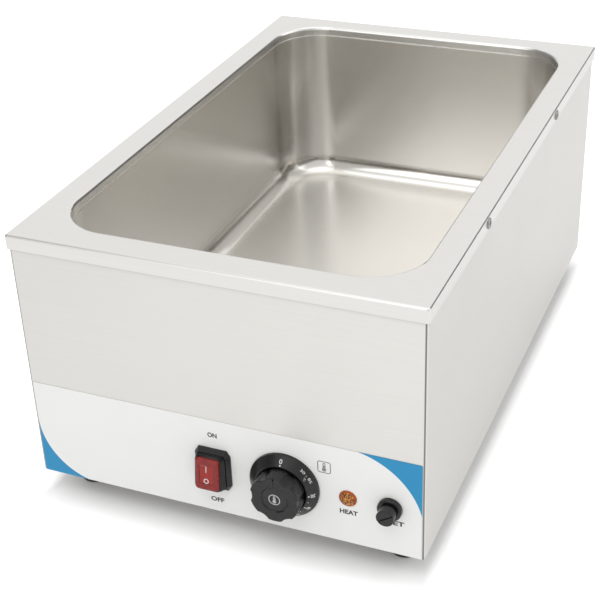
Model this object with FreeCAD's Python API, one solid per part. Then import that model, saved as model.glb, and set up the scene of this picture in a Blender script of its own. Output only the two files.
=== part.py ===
import FreeCAD, Part
import math
import os

os.makedirs("parts", exist_ok=True)
V = FreeCAD.Vector

# Countertop wet-well bain-marie for one full-size gastronorm pan.
# Millimetres. +X is to the right seen from the front, +Y to the back, +Z up, table at Z = 0.

# Deck and well
opening_width = 293.0
opening_length = 488.5
opening_corner_radius = 46.0
ledge_width = 23.5
front_ledge = 28.0
skirt_height = 12.0
skirt_gap = 0.8
deck_edge_radius = 2.0
deck_corner_radius = 2.5
lip_radius = 3.0
collar_depth = 8.0
well_depth = 164.0
well_floor_radius = 18.0

# Body
sheet = 1.0
bay_height = 59.0
body_corner_radius = 2.3
hem_radius = 0.8
base_flange = 12.0
top_flange = 10.0
back_frame = 15.0
panel_margin = 4.0
label_height = 88.7
label_thickness = 0.3
label_corner_radius = 1.2

# Feet
foot_drop = 24.0
foot_bottom = 26.0
foot_top = 30.0
foot_inset_x = 29.0
foot_inset_y = 38.0
foot_recess_diameter = 13.0
foot_recess_depth = 12.0
foot_edge_radius = 1.5

# Vents in the base plate
vent_length = 42.0
vent_width = 4.0
vent_pitch = 11.0
vent_count = 7
vent_row_offset = 95.0

# Row of controls: below the tank, and spaced from the right side of the body
control_drop = 15.0
reset_inset = 27.1
lamp_spacing = 34.1
dial_spacing = 52.0
switch_spacing = 60.7
bay_clearance = 1.5
control_width = 38.0

# Rocker switch
frame_width = 30.5
frame_height = 38.0
frame_depth = 4.5
frame_rim = 1.4
frame_bevel = 2.6
frame_chamfer_across = 3.2
frame_chamfer_up = 5.2
window_width = 23.2
window_height = 32.2
housing_width = 22.0
housing_depth = 20.0
housing_wall = 1.5
housing_flange = 1.5
flange_depth = 1.5
rocker_width = 20.2
rocker_height = 27.4
rocker_depth = 3.0
rocker_corner_radius = 2.6
rocker_edge_radius = 1.8
rocker_reach = 15.0
rocker_tilt = 8.4
pivot_depth = 1.0
pivot_diameter = 3.0
lens_width = 12.6
lens_height = 15.8
lens_depth = 1.0
lens_sink = 0.25
stem_width = 15.0
stem_height = 9.0
stem_tail = 5.0
boot_width = 22.4
boot_height = 30.4
boot_flare = 1.5
boot_fold = 1.1
boot_wall = 1.0
boot_rim = 1.3

# Thermostat dial
ring_diameter = 58.0
ring_bore = 41.9
ring_reach = 8.5
ring_rim = 2.4
ring_land = 1.1
ring_wall = 2.0
ring_floor = 1.5
knob_diameter = 40.6
knob_reach = 22.0
knob_lobes = 6
flute_radius = 11.0
flute_depth = 1.9
flute_taper = 0.7
flute_blend = 1.0
knob_edge_radius = 0.8
knob_wall = 2.0
knob_lift = 0.5
hub_diameter = 12.0
cap_diameter = 21.0
cap_thickness = 1.5
cap_sink = 1.0
notch_width = 1.3
notch_length = 2.2
notch_depth = 1.0
pointer_width = 0.6
pointer_depth = 0.3
spindle_diameter = 6.0
spindle_depth = 9.0
spindle_flat = 1.4
neck_diameter = 10.0
thermostat_depth = 23.0
bracket_thickness = 1.5
bracket_overhang = 4.0
thermostat_screw_spacing = 28.0
terminal_offset = 15.2
cup_diameter = 20.5
cup_depth = 2.0

# Heating lamp
lamp_flange_diameter = 14.5
lamp_flange = 0.8
lamp_lens_diameter = 13.4
lamp_dome = 2.3
lamp_barrel = 11.6
lamp_depth = 22.0
lamp_nut_diameter = 17.0
lamp_nut_flats = 15.8
lamp_nut_thickness = 3.0

# Manual reset of the safety limiter
collar_diameter = 19.5
collar_reach = 4.5
reset_cap_diameter = 14.0
reset_cap_reach = 14.0
reset_cap_wall = 2.6
reset_slot_width = 1.3
reset_slot_depth = 1.0
reset_slot_angle = 33.0
reset_pin_diameter = 4.0
reset_pin_proud = 1.6
reset_pin_travel = 2.0
limiter_neck_proud = 3.5
limiter_depth = 20.0

# Capillary sensors
bulb_diameter = 6.0
bulb_length = 92.0
bulb_spacing = 14.0
bulb_lead = 80.0
capillary_diameter = 2.0
capillary_bend = 10.0

# Heating element clamped under the tank
element_diameter = 6.5
element_pitch = 70.0
element_passes = 4
element_setback = 78.2
cold_length = 40.0
element_pin_diameter = 4.0
element_pin_length = 14.0
bar_width = 15.0
bar_thickness = 1.5
bar_overhang = 9.75
bar_setback = 45.0
stud_diameter = 5.0
stud_length = 15.0

# Rear connections
gland_inset = 58.2
gland_rise = 36.0
gland_thread = 16.0
gland_flats = 19.0
gland_hex = 5.0
gland_nut_reach = 13.0
gland_bore = 10.4
cable_bore = 8.0
seal_length = 12.0
locknut_thickness = 4.0
bonding_inset = 48.2
bonding_rise = 20.0
bonding_reach = 16.0
block_width = 46.0
block_length = 20.0
block_height = 19.0
block_setback = 46.2
block_poles = 3
block_pitch = 11.5
block_well_diameter = 6.9
block_well_depth = 8.5
block_entry_diameter = 5.8
block_entry_height = 5.7

# Wiring on the base plate
loom_diameter = 8.0
loom_bend = 16.0
loom_setback = 54.2
loom_inset = 18.2
loom_overrun = 6.0
lead_diameter = 2.4
lead_bend = 6.0
lead_stagger = 2.2
sleeve_length = 10.0
sleeve_wall = 1.0
clip_width = 9.0
clip_foot = 6.0
clip_setback = 70.0

# Screws, nuts and tabs
m4 = 4.0
m4_head = 7.2
m4_head_height = 2.4
m4_length = 9.0
m4_flats = 7.0
m4_nut = 3.2
m5 = 5.0
m5_head = 9.0
m5_head_height = 3.0
m5_flats = 8.0
m5_nut = 4.0
deck_screw_head = 9.0
deck_screw_head_height = 1.2
deck_screw_front = 147.6
deck_screw_back = 168.3
deck_screw_drop = 6.5
base_screw_inset_x = 88.2
base_screw_inset_y = 173.2
tab_width = 6.3
tab_thickness = 0.8
tab_length = 7.5
tab_spacing = 9.0

# Clearances
running = 0.05
hole_play = 0.25
seat_gap = 0.2
swing_gap = 0.3
slip = 0.6
tiny = 0.001

# Worked out from the sizes above
body_bottom = foot_drop
tank_under = body_bottom + bay_height
well_floor = tank_under + sheet
deck_top = well_floor + well_depth
skirt_bottom = deck_top - skirt_height
collar_bottom = deck_top - collar_depth
body_top = deck_top - sheet
deck_width = opening_width + 2 * ledge_width
deck_length = opening_length + ledge_width + front_ledge
opening_y = (front_ledge - ledge_width) / 2
body_width = deck_width - 2 * (sheet + skirt_gap)
body_length = deck_length - 2 * (sheet + skirt_gap)
inside_width = body_width - 2 * sheet
inside_length = body_length - 2 * sheet
front_y = -body_length / 2
back_y = body_length / 2
face_y = front_y - label_thickness
panel_back = -(label_thickness + sheet)
control_z = tank_under - control_drop
reset_x = body_width / 2 - reset_inset
lamp_x = reset_x - lamp_spacing
dial_x = lamp_x - dial_spacing
switch_x = dial_x - switch_spacing
base_bottom = body_bottom + sheet
base_top = base_bottom + sheet
foot_height = base_bottom
foot_x = deck_width / 2 - foot_inset_x
foot_y = deck_length / 2 - foot_inset_y
bay_body_height = 2 * (control_drop - bay_clearance)
housing_height = 2 * (control_drop - hole_play) - hole_play
bracket_back = panel_back - bracket_thickness
knob_back = ring_floor + m4_head_height + knob_lift
knob_top_inside = knob_reach - cap_sink - cap_thickness - knob_wall
element_z = tank_under - seat_gap - element_diameter / 2
bar_top = tank_under - 2 * seat_gap - element_diameter
bulb_z = tank_under - seat_gap - bulb_diameter / 2
element_front = front_y + element_setback
element_turn_front = element_front + cold_length
element_back = back_y - element_setback
bar_length = (element_passes - 1) * element_pitch + element_diameter + 2 * bar_overhang
first_bar = element_turn_front + bar_setback
last_bar = element_back - bar_setback
bar_places = (first_bar, (first_bar + last_bar) / 2, last_bar)
bulb_start = bar_places[1] - bulb_lead
back_panel_y = back_y + sheet
gland_x = body_width / 2 - gland_inset
bonding_x = bonding_inset - body_width / 2
block_y = back_y - block_setback
loom_x = body_width / 2 - loom_inset
loom_y = front_y + loom_setback
loom_z = base_top + seat_gap + loom_diameter / 2
gland_z = body_bottom + gland_rise
bonding_z = body_bottom + bonding_rise


# General shapes

def rounded_edges(corners, closed):
    """Edges through corners of (point, radius), each corner rounded by a tangent arc."""
    count = len(corners)
    bends = []
    for index, (point, radius) in enumerate(corners):
        is_end = not closed and index in (0, count - 1)
        if radius <= 0 or is_end:
            bends.append((point, None, point))
            continue
        before = (corners[index - 1][0] - point).normalize()
        after = (corners[(index + 1) % count][0] - point).normalize()
        half = before.getAngle(after) / 2
        reach = radius / math.tan(half)
        inward = (before + after).normalize()
        middle = point + inward * (radius / math.sin(half) - radius)
        bends.append((point + before * reach, middle, point + after * reach))
    edges = []
    for index, (start, middle, end) in enumerate(bends):
        if middle is not None:
            edges.append(Part.Arc(start, middle, end).toShape())
        if closed or index + 1 < count:
            following = bends[(index + 1) % count][0]
            if (following - end).Length > tiny:
                edges.append(Part.LineSegment(end, following).toShape())
    return edges


def outline(corners):
    return Part.Wire(rounded_edges(corners, True))


def rectangle(width, length, radius, level):
    """Rounded rectangle in a level plane, centred on the Z axis."""
    x = width / 2
    y = length / 2
    corners = [V(-x, -y, level), V(x, -y, level), V(x, y, level), V(-x, y, level)]
    return outline([(corner, radius) for corner in corners])


def octagon(width, length, cut_x, cut_y, level):
    """Rectangle with cut corners in a level plane."""
    x = width / 2
    y = length / 2
    spots = []
    for sx, sy in ((-1, -1), (1, -1), (1, 1), (-1, 1)):
        along_y = V(sx * x, sy * (y - cut_y), level)
        along_x = V(sx * (x - cut_x), sy * y, level)
        spots += [along_y, along_x] if sx * sy > 0 else [along_x, along_y]
    return Part.makePolygon(spots + spots[:1])


def slab(width, length, radius, bottom, top):
    return Part.Face(rectangle(width, length, radius, bottom)).extrude(V(0, 0, top - bottom))


def block(low, high):
    size = high - low
    return Part.makeBox(size.x, size.y, size.z, low)


def rod(radius, bottom, top, x=0.0, y=0.0):
    return Part.makeCylinder(radius, top - bottom, V(x, y, bottom))


def lathe(profile):
    """Solid turned about Z from points of (radius, height, rounding)."""
    corners = [(V(radius, 0, height), rounding) for radius, height, rounding in profile]
    return Part.Face(outline(corners)).revolve(V(0, 0, 0), V(0, 0, 1), 360)


def round_edges_at(shape, level, radius):
    """Fillet the edges that lie in one level plane."""
    edges = [
        edge for edge in shape.Edges
        if abs(edge.BoundBox.ZMin - level) < tiny and abs(edge.BoundBox.ZMax - level) < tiny
    ]
    return shape.makeFillet(radius, edges)


def tube(points, radius, bend):
    """Round bar along straight runs joined by tangent arcs."""
    path = Part.Wire(rounded_edges([(point, bend) for point in points], False))
    start = points[0]
    ring = Part.Wire(Part.makeCircle(radius, start, points[1] - start))
    return path.makePipeShell([ring], True, True)


def hexagon(flats, bottom, top):
    corner = flats / math.sqrt(3)
    spots = [
        V(corner * math.cos(math.radians(60 * k)), corner * math.sin(math.radians(60 * k)), bottom)
        for k in range(7)
    ]
    return Part.Face(Part.makePolygon(spots)).extrude(V(0, 0, top - bottom))


def nut(flats, thickness, thread):
    """Hexagon nut standing on Z = 0."""
    return hexagon(flats, 0, thickness).cut(rod(thread / 2 + running, 0, thickness))


def pan_screw(thread, length, head, head_height):
    """Pan-head screw with a cross recess, head up and seated at Z = 0."""
    shape = lathe([
        (0, -length, 0),
        (thread / 2, -length, 0),
        (thread / 2, 0, 0),
        (head / 2, 0, 0),
        (head / 2, head_height, head_height * 0.6),
        (0, head_height, 0),
    ])
    arm = head * 0.3
    slot = head * 0.07
    depth = head_height * 0.55
    for x, y in ((arm, slot), (slot, arm)):
        shape = shape.cut(block(V(-x, -y, head_height - depth), V(x, y, head_height + depth)))
    return shape


def on_front(shape, x, z=control_z, y=face_y):
    """Stand a shape on the front: its X stays across, its Y points up, its Z points out."""
    placed = shape.copy()
    placed.rotate(V(0, 0, 0), V(1, 0, 0), 90)
    placed.translate(V(x, y, z))
    return placed


def on_back(shape, x, z, y=back_panel_y):
    """Stand a shape on the back with its Z pointing out."""
    placed = shape.copy()
    placed.rotate(V(0, 0, 0), V(1, 0, 0), -90)
    placed.translate(V(x, y, z))
    return placed


def on_side(shape, side, y, z, x):
    """Stand a shape on a side wall, with its Z pointing out; side is 1 right or -1 left."""
    placed = shape.copy()
    placed.rotate(V(0, 0, 0), V(0, 1, 0), 90 * side)
    placed.translate(V(side * x, y, z))
    return placed


def moved(shape, x, y, z):
    placed = shape.copy()
    placed.translate(V(x, y, z))
    return placed


def flipped(shape):
    """Turn a shape upside down."""
    placed = shape.copy()
    placed.rotate(V(0, 0, 0), V(1, 0, 0), 180)
    return placed


def group(shapes):
    return Part.makeCompound(shapes)


def tabs(count, back, spacing=tab_spacing):
    """Row of push-on tabs that stand out behind a control."""
    row = []
    for k in range(count):
        x = (k - (count - 1) / 2) * spacing
        low = V(x - tab_thickness / 2, -tab_width / 2, -back - tab_length)
        high = V(x + tab_thickness / 2, tab_width / 2, -back)
        row.append(block(low, high))
    return row


# Places that repeat

foot_places = [(sx * foot_x, sy * foot_y) for sx in (-1, 1) for sy in (-1, 1)]
base_edge_x = body_width / 2 - base_flange / 2
base_edge_y = body_length / 2 - base_flange / 2
base_screw_x = body_width / 2 - base_screw_inset_x
base_screw_y = body_length / 2 - base_screw_inset_y
base_screw_places = (
    [(sx * base_edge_x, sy * base_screw_y) for sx in (-1, 1) for sy in (-1, 1)]
    + [(sx * base_screw_x, sy * base_edge_y) for sx in (-1, 1) for sy in (-1, 1)]
)
deck_screw_rows = (deck_screw_front - deck_length / 2, deck_length / 2 - deck_screw_back)
deck_screw_places = [(side, y) for side in (-1, 1) for y in deck_screw_rows]
deck_screw_z = deck_top - deck_screw_drop
panel_bottom = body_bottom + panel_margin
panel_top = skirt_bottom - panel_margin
panel_screw_x = body_width / 2 - back_frame / 2
panel_screw_low = body_bottom + back_frame / 2 + panel_margin / 2
panel_screw_high = skirt_bottom - back_frame / 2 - panel_margin / 2
panel_screw_places = [
    (side * panel_screw_x, z)
    for side in (-1, 1)
    for z in (panel_screw_low, (panel_screw_low + panel_screw_high) / 2, panel_screw_high)
]


# Sheet-metal shells

def opening_lip():
    """Rolled lip with its short collar, swept round the opening."""
    path = rectangle(opening_width, opening_length, opening_corner_radius, deck_top)
    wall = -opening_width / 2
    y = -opening_length / 2 + opening_corner_radius
    profile = outline([
        (V(wall - lip_radius, y, deck_top), 0),
        (V(wall, y, deck_top), lip_radius),
        (V(wall, y, collar_bottom), 0),
        (V(wall - sheet, y, collar_bottom), 0),
        (V(wall - sheet, y, deck_top - sheet), lip_radius - sheet),
        (V(wall - lip_radius, y, deck_top - sheet), 0),
    ])
    return moved(path.makePipeShell([profile], True, False), 0, opening_y, 0)


def top_deck():
    """Pressed deck with a turned-down skirt and the rolled opening."""
    outer = slab(deck_width, deck_length, deck_corner_radius, skirt_bottom, deck_top)
    outer = round_edges_at(outer, deck_top, min(deck_edge_radius, deck_corner_radius - tiny))
    inner = slab(
        deck_width - 2 * sheet, deck_length - 2 * sheet, deck_corner_radius - sheet,
        skirt_bottom - sheet, deck_top - sheet,
    )
    lip_zone = slab(
        opening_width + 2 * lip_radius, opening_length + 2 * lip_radius,
        opening_corner_radius + lip_radius, skirt_bottom, deck_top + sheet,
    )
    deck = outer.cut(inner).cut(moved(lip_zone, 0, opening_y, 0)).fuse(opening_lip())
    hole = rod(m4 / 2 + hole_play, -skirt_height, skirt_height)
    for side, y in deck_screw_places:
        deck = deck.cut(on_side(hole, side, y, deck_screw_z, deck_width / 2))
    return deck


def water_tank():
    """Deep-drawn tank whose rim meets the deck's collar edge to edge."""
    outer = slab(
        opening_width + 2 * sheet, opening_length + 2 * sheet,
        opening_corner_radius + sheet, tank_under, collar_bottom,
    )
    outer = round_edges_at(outer, tank_under, well_floor_radius + sheet)
    inner = slab(
        opening_width, opening_length, opening_corner_radius, well_floor, collar_bottom + sheet,
    )
    inner = round_edges_at(inner, well_floor, well_floor_radius)
    return moved(outer.cut(inner), 0, opening_y, 0)


def front_cutters():
    """Shapes that pass through the front panel and its label for the controls."""
    depth = 2 * sheet + label_thickness
    window = slab(
        housing_width + 2 * hole_play, housing_height + 2 * hole_play, hole_play, -depth, depth,
    )
    neck = rod(neck_diameter / 2 + hole_play, -depth, depth)
    fixing = rod(m4 / 2 + hole_play, -depth, depth)
    barrel = rod(lamp_barrel / 2 + hole_play, -depth, depth)
    half = thermostat_screw_spacing / 2
    return [
        on_front(window, switch_x),
        on_front(neck, dial_x),
        on_front(fixing, dial_x - half),
        on_front(fixing, dial_x + half),
        on_front(barrel, lamp_x),
        on_front(neck, reset_x),
    ]


def body_wrap():
    """Folded body: front, sides and rear frame, with flanges turned in at top and bottom."""
    outer = slab(body_width, body_length, body_corner_radius, body_bottom, body_top)
    outer = round_edges_at(outer, body_bottom, hem_radius)
    inner = slab(
        inside_width, inside_length, body_corner_radius - sheet, base_bottom, body_top - sheet,
    )
    wrap = outer.cut(inner)
    wrap = wrap.cut(slab(
        body_width - 2 * base_flange, body_length - 2 * base_flange, base_flange / 4,
        body_bottom - sheet, base_top,
    ))
    wrap = wrap.cut(slab(
        body_width - 2 * top_flange, body_length - 2 * top_flange, top_flange / 4,
        body_top - 2 * sheet, body_top + sheet,
    ))
    wrap = wrap.cut(block(
        V(back_frame - body_width / 2, back_y - 2 * sheet, body_bottom + back_frame),
        V(body_width / 2 - back_frame, back_y + sheet, skirt_bottom - back_frame),
    ))
    hole = rod(m4 / 2 + hole_play, -2 * sheet, 2 * sheet)
    for side, y in deck_screw_places:
        wrap = wrap.cut(on_side(hole, side, y, deck_screw_z, body_width / 2))
    for x, y in base_screw_places:
        wrap = wrap.cut(moved(hole, x, y, body_bottom))
    for x, z in panel_screw_places:
        wrap = wrap.cut(on_back(hole, x, z))
    for cutter in front_cutters():
        wrap = wrap.cut(cutter)
    return wrap


def back_panel():
    """Screwed service panel that covers the opening in the back."""
    width = body_width - 2 * panel_margin
    height = panel_top - panel_bottom
    panel = slab(width, height, panel_margin, -sheet, 0)
    panel = on_back(panel, 0, (panel_top + panel_bottom) / 2)
    hole = rod(m4 / 2 + hole_play, -2 * sheet, 2 * sheet)
    for x, z in panel_screw_places:
        panel = panel.cut(on_back(hole, x, z))
    panel = panel.cut(on_back(rod(gland_thread / 2 + hole_play, -2 * sheet, sheet), gland_x, gland_z))
    return panel.cut(on_back(rod(m5 / 2 + hole_play, -2 * sheet, sheet), bonding_x, bonding_z))


def base_plate():
    """Flat base that lies on the bottom flange, with two fields of vent slots."""
    plate = slab(
        inside_width - 2 * slip, inside_length - 2 * slip, body_corner_radius,
        base_bottom, base_top,
    )
    for x, y in base_screw_places:
        plate = plate.cut(rod(m4 / 2 + hole_play, base_bottom, base_top, x, y))
    for x, y in foot_places:
        plate = plate.cut(rod(m5 / 2 + hole_play, base_bottom, base_top, x, y))
    slot = slab(vent_length, vent_width, vent_width / 2 - tiny, base_bottom - sheet, base_top + sheet)
    for row in (-1, 1):
        for k in range(vent_count):
            y = row * vent_row_offset + (k - (vent_count - 1) / 2) * vent_pitch
            plate = plate.cut(moved(slot, 0, y, 0))
    return plate


def fascia_label():
    """Printed film across the lower front, cut out round the controls."""
    width = body_width - 2 * body_corner_radius
    bottom = body_bottom + hem_radius
    film = slab(width, label_height, label_corner_radius, -label_thickness, 0)
    film = on_front(film, 0, bottom + label_height / 2)
    for cutter in front_cutters():
        film = film.cut(cutter)
    return film


# Feet and the screws of the shells

def foot(x, y):
    """Tapered rubber foot with a recess for its screw."""
    shape = lathe([
        (foot_recess_diameter / 2, 0, 0),
        (foot_bottom / 2, 0, foot_edge_radius),
        (foot_top / 2, foot_height, foot_edge_radius / 2),
        (m5 / 2 + hole_play, foot_height, 0),
        (m5 / 2 + hole_play, foot_recess_depth, 0),
        (foot_recess_diameter / 2, foot_recess_depth, 0),
    ])
    return moved(shape, x, y, 0)


def foot_screws():
    length = base_top + m5_nut + m5 / 2 - foot_recess_depth
    screw = flipped(pan_screw(m5, length, m5_head, m5_head_height))
    return group([moved(screw, x, y, foot_recess_depth) for x, y in foot_places])


def foot_nuts():
    return group([moved(nut(m5_flats, m5_nut, m5), x, y, base_top) for x, y in foot_places])


def deck_screws():
    screw = pan_screw(m4, m4_length, deck_screw_head, deck_screw_head_height)
    return group([
        on_side(screw, side, y, deck_screw_z, deck_width / 2) for side, y in deck_screw_places
    ])


def deck_nuts():
    """Clinch nuts on the inside of the side walls."""
    clinch = flipped(nut(m4_flats, m4_nut, m4))
    return group([
        on_side(clinch, side, y, deck_screw_z, inside_width / 2) for side, y in deck_screw_places
    ])


def base_screws():
    screw = flipped(pan_screw(m4, m4_length, m4_head, m4_head_height))
    return group([moved(screw, x, y, body_bottom) for x, y in base_screw_places])


def panel_screws():
    screw = pan_screw(m4, m4_length, m4_head, m4_head_height)
    return group([on_back(screw, x, z) for x, z in panel_screw_places])


# Rocker switch, drawn face-up about its centre

def switch_frame():
    """Bevelled bezel with cut corners round the rocker."""
    cut_x = frame_chamfer_across
    cut_y = frame_chamfer_up
    shrink = frame_bevel * (cut_x + cut_y - math.hypot(cut_x, cut_y))
    rim = Part.Face(octagon(frame_width, frame_height, cut_x, cut_y, 0)).extrude(V(0, 0, frame_rim))
    bevel = Part.makeLoft([
        octagon(frame_width, frame_height, cut_x, cut_y, frame_rim),
        octagon(
            frame_width - 2 * frame_bevel, frame_height - 2 * frame_bevel,
            cut_x - shrink / cut_y, cut_y - shrink / cut_x, frame_depth,
        ),
    ], True, True)
    window = slab(window_width, window_height, housing_wall, 0, frame_depth + sheet)
    pocket = slab(
        housing_width + 2 * (housing_flange + seat_gap),
        housing_height + 2 * (housing_flange + seat_gap),
        seat_gap, -sheet, flange_depth + seat_gap,
    )
    return on_front(rim.fuse(bevel).removeSplitter().cut(window).cut(pocket), switch_x)


def switch_housing():
    """Open moulded housing with a mounting flange, side clips and the rocker's bearings."""
    body = slab(housing_width, housing_height, housing_wall, -housing_depth, 0)
    flange = slab(
        housing_width + 2 * housing_flange, housing_height + 2 * housing_flange, housing_wall,
        0, flange_depth,
    )
    cavity = slab(
        housing_width - 2 * housing_wall, housing_height - 2 * housing_wall, housing_wall / 2,
        2 * housing_wall - housing_depth, frame_depth,
    )
    bearing = Part.makeCylinder(
        pivot_diameter / 2 + running, housing_width - housing_wall,
        V(-(housing_width - housing_wall) / 2, 0, -pivot_depth), V(1, 0, 0),
    )
    shape = body.fuse(flange).removeSplitter().cut(cavity).cut(bearing)
    for side in (-1, 1):
        shape = shape.fuse(housing_clip(side))
    return on_front(shape, switch_x)


def housing_clip(side):
    """Wedge that snaps behind the panel above and below the housing."""
    y = side * housing_height / 2
    width = housing_width / 4
    start = panel_back - seat_gap
    wedge = Part.makePolygon([
        V(-width, y, start),
        V(-width, y + side * housing_wall, start),
        V(-width, y, start - 4 * housing_wall),
        V(-width, y, start),
    ])
    return Part.Face(wedge).extrude(V(2 * width, 0, 0))


def switch_terminals():
    return on_front(group(tabs(2, housing_depth)), switch_x)


def tilted(shape, share=1.0):
    """Tilt a shape about the rocker's pivot; a share of 1 is the full tilt with the top pressed in."""
    placed = moved(shape, 0, 0, -pivot_depth)
    placed.rotate(V(0, 0, -pivot_depth), V(1, 0, 0), -rocker_tilt * share)
    return placed


def switch_rocker():
    """Red rocker cap with rounded edges and a recess for the lens."""
    cap = slab(
        rocker_width, rocker_height, rocker_corner_radius, rocker_reach - rocker_depth, rocker_reach,
    )
    cap = round_edges_at(cap, rocker_reach, rocker_edge_radius)
    recess = slab(
        lens_width + 2 * running, lens_height + 2 * running, lens_depth,
        rocker_reach - lens_depth - lens_sink, rocker_reach + sheet,
    )
    return on_front(tilted(cap.cut(recess)), switch_x)


def switch_lens():
    """Clear window let into the rocker."""
    lens = slab(
        lens_width, lens_height, lens_depth - running,
        rocker_reach - lens_depth - lens_sink, rocker_reach - lens_sink,
    )
    return on_front(tilted(lens), switch_x)


def switch_carrier():
    """Stem under the rocker cap with its two pivot journals."""
    stem = slab(stem_width, stem_height, sheet, -stem_tail, rocker_reach - rocker_depth)
    journal_length = housing_width - housing_wall - 2 * seat_gap
    journal = Part.makeCylinder(
        pivot_diameter / 2, journal_length, V(-journal_length / 2, 0, 0), V(1, 0, 0),
    )
    return on_front(tilted(stem.fuse(journal)), switch_x)


def boot_section(share, width, height, rise):
    """One rounded rectangle of the boot, turned part of the way to the rocker's tilt."""
    return tilted(rectangle(width, height, rocker_corner_radius, rise), share)


def switch_boot():
    """Folded rubber boot, a wedge between the bezel and the underside of the rocker."""
    low = flange_depth + seat_gap + pivot_depth
    neck = frame_depth + seat_gap + pivot_depth
    first = neck + boot_fold
    last = rocker_reach - rocker_depth - 2 * running
    rim_width = rocker_width + 2 * boot_rim
    rim_height = rocker_height + 2 * boot_rim
    sections = [boot_section(0, boot_width, boot_height, level) for level in (low, neck)]
    folds = 4
    for k in range(folds + 1):
        share = k / (folds + 1)
        inset = boot_fold * (k % 2) - boot_flare * (1 - share)
        width = boot_width + (rim_width - boot_width) * share - 2 * inset
        height = boot_height + (rim_height - boot_height) * share - 2 * inset
        sections.append(boot_section(share, width, height, first + (last - first) * share))
    sections.append(boot_section(1, rim_width, rim_height, last))
    cavity_width = rim_width - 2 * (boot_wall + boot_fold)
    cavity_height = rim_height - 2 * (boot_wall + boot_fold)
    cavity = Part.makeLoft([
        boot_section(0, cavity_width, cavity_height, low - tiny),
        boot_section(1, cavity_width, cavity_height, last + tiny),
    ], True, True)
    return on_front(Part.makeLoft(sections, True, True).cut(cavity), switch_x)


# Thermostat and its dial, drawn face-up about the spindle

def dial_ring():
    """Fixed scale ring: a cone from the rim up to the land round the grip."""
    outer = ring_diameter / 2
    bore = ring_bore / 2
    land = bore + ring_land
    hollow_top = ring_reach - ring_wall - ring_land
    ring = lathe([
        (neck_diameter / 2 + slip, 0, 0),
        (bore + ring_wall, 0, 0),
        (bore + ring_wall, hollow_top, 0),
        (outer - ring_wall, ring_rim - slip, 0),
        (outer - ring_wall, 0, 0),
        (outer, 0, 0),
        (outer, ring_rim, slip),
        (land, ring_reach, slip),
        (bore, ring_reach, slip / 2),
        (bore, ring_floor, 0),
        (neck_diameter / 2 + slip, ring_floor, 0),
    ])
    hole = rod(m4 / 2 + hole_play, 0, ring_floor)
    for side in (-1, 1):
        ring = ring.cut(moved(hole, side * thermostat_screw_spacing / 2, 0, 0))
    return on_front(ring, dial_x)


def turned(point, degrees):
    angle = math.radians(degrees)
    x = point.x * math.cos(angle) - point.y * math.sin(angle)
    y = point.x * math.sin(angle) + point.y * math.cos(angle)
    return V(x, y, point.z)


def lobed_outline(radius, depth, level):
    """Grip outline: lobes, hollow flutes between them, and small blends where they meet."""
    flute_centre = radius - depth + flute_radius
    blend_centre = radius - flute_blend
    reach = flute_radius + flute_blend
    cosine = (blend_centre ** 2 + flute_centre ** 2 - reach ** 2) / (2 * blend_centre * flute_centre)
    spread = math.degrees(math.acos(cosine))
    step = 360 / knob_lobes
    centre = V(flute_centre, 0, level)
    hollow = V(flute_centre - flute_radius, 0, level)
    blend = turned(V(blend_centre, 0, level), spread)
    shoulder = turned(V(radius, 0, level), spread)
    meeting = blend + (centre - blend) * (flute_blend / reach)
    sway = (meeting - blend) + (shoulder - blend)
    crest = blend + sway * (flute_blend / sway.Length)
    edges = []
    for k in range(knob_lobes):
        start = k * step
        mirror = [V(point.x, -point.y, level) for point in (shoulder, crest, meeting)]
        chain = mirror + [hollow, meeting, crest, shoulder]
        chain = [turned(point, start) for point in chain]
        lobe_middle = turned(V(radius, 0, level), start + step / 2)
        lobe_end = turned(V(shoulder.x, -shoulder.y, level), start + step)
        edges.append(Part.Arc(*chain[0:3]).toShape())
        edges.append(Part.Arc(*chain[2:5]).toShape())
        edges.append(Part.Arc(*chain[4:7]).toShape())
        edges.append(Part.Arc(chain[6], lobe_middle, lobe_end).toShape())
    return Part.Wire(edges)


def knob_blank():
    """Solid grip with its flutes a little deeper towards the face."""
    low = lobed_outline(knob_diameter / 2, flute_depth - flute_taper, knob_back)
    high = lobed_outline(knob_diameter / 2, flute_depth, knob_reach)
    blank = Part.makeLoft([low, high], True, True)
    return round_edges_at(blank, knob_reach, knob_edge_radius)


def thermostat_knob():
    """Hollow grip with a hub for the spindle, a pointer notch and a pocket for its cap."""
    pocket_floor = knob_reach - cap_sink - cap_thickness
    cavity_radius = knob_diameter / 2 - flute_depth - knob_wall
    cavity = rod(cavity_radius, knob_back - sheet, knob_top_inside)
    hub = rod(hub_diameter / 2, knob_back, knob_top_inside)
    knob = knob_blank().cut(cavity.cut(hub))
    pocket = lathe([
        (0, pocket_floor, 0),
        (cap_diameter / 2 + running, pocket_floor, 0),
        (cap_diameter / 2 + running, knob_reach - cap_sink, 0),
        (cap_diameter / 2 + cap_sink, knob_reach + tiny, 0),
        (0, knob_reach + tiny, 0),
    ])
    half = notch_width / 2
    edge = knob_diameter / 2
    notch = block(
        V(-half, edge - notch_length, knob_reach - notch_depth), V(half, edge + half, knob_reach + half),
    )
    line = block(
        V(-pointer_width / 2, cap_diameter / 2, knob_reach - pointer_depth),
        V(pointer_width / 2, edge, knob_reach + half),
    )
    knob = knob.cut(pocket).cut(notch).cut(line).cut(spindle_shape(running))
    return on_front(knob, dial_x)


def knob_cap():
    """Disc pressed into the middle of the grip."""
    top = knob_reach - cap_sink
    return on_front(rod(cap_diameter / 2, top - cap_thickness, top), dial_x)


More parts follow.
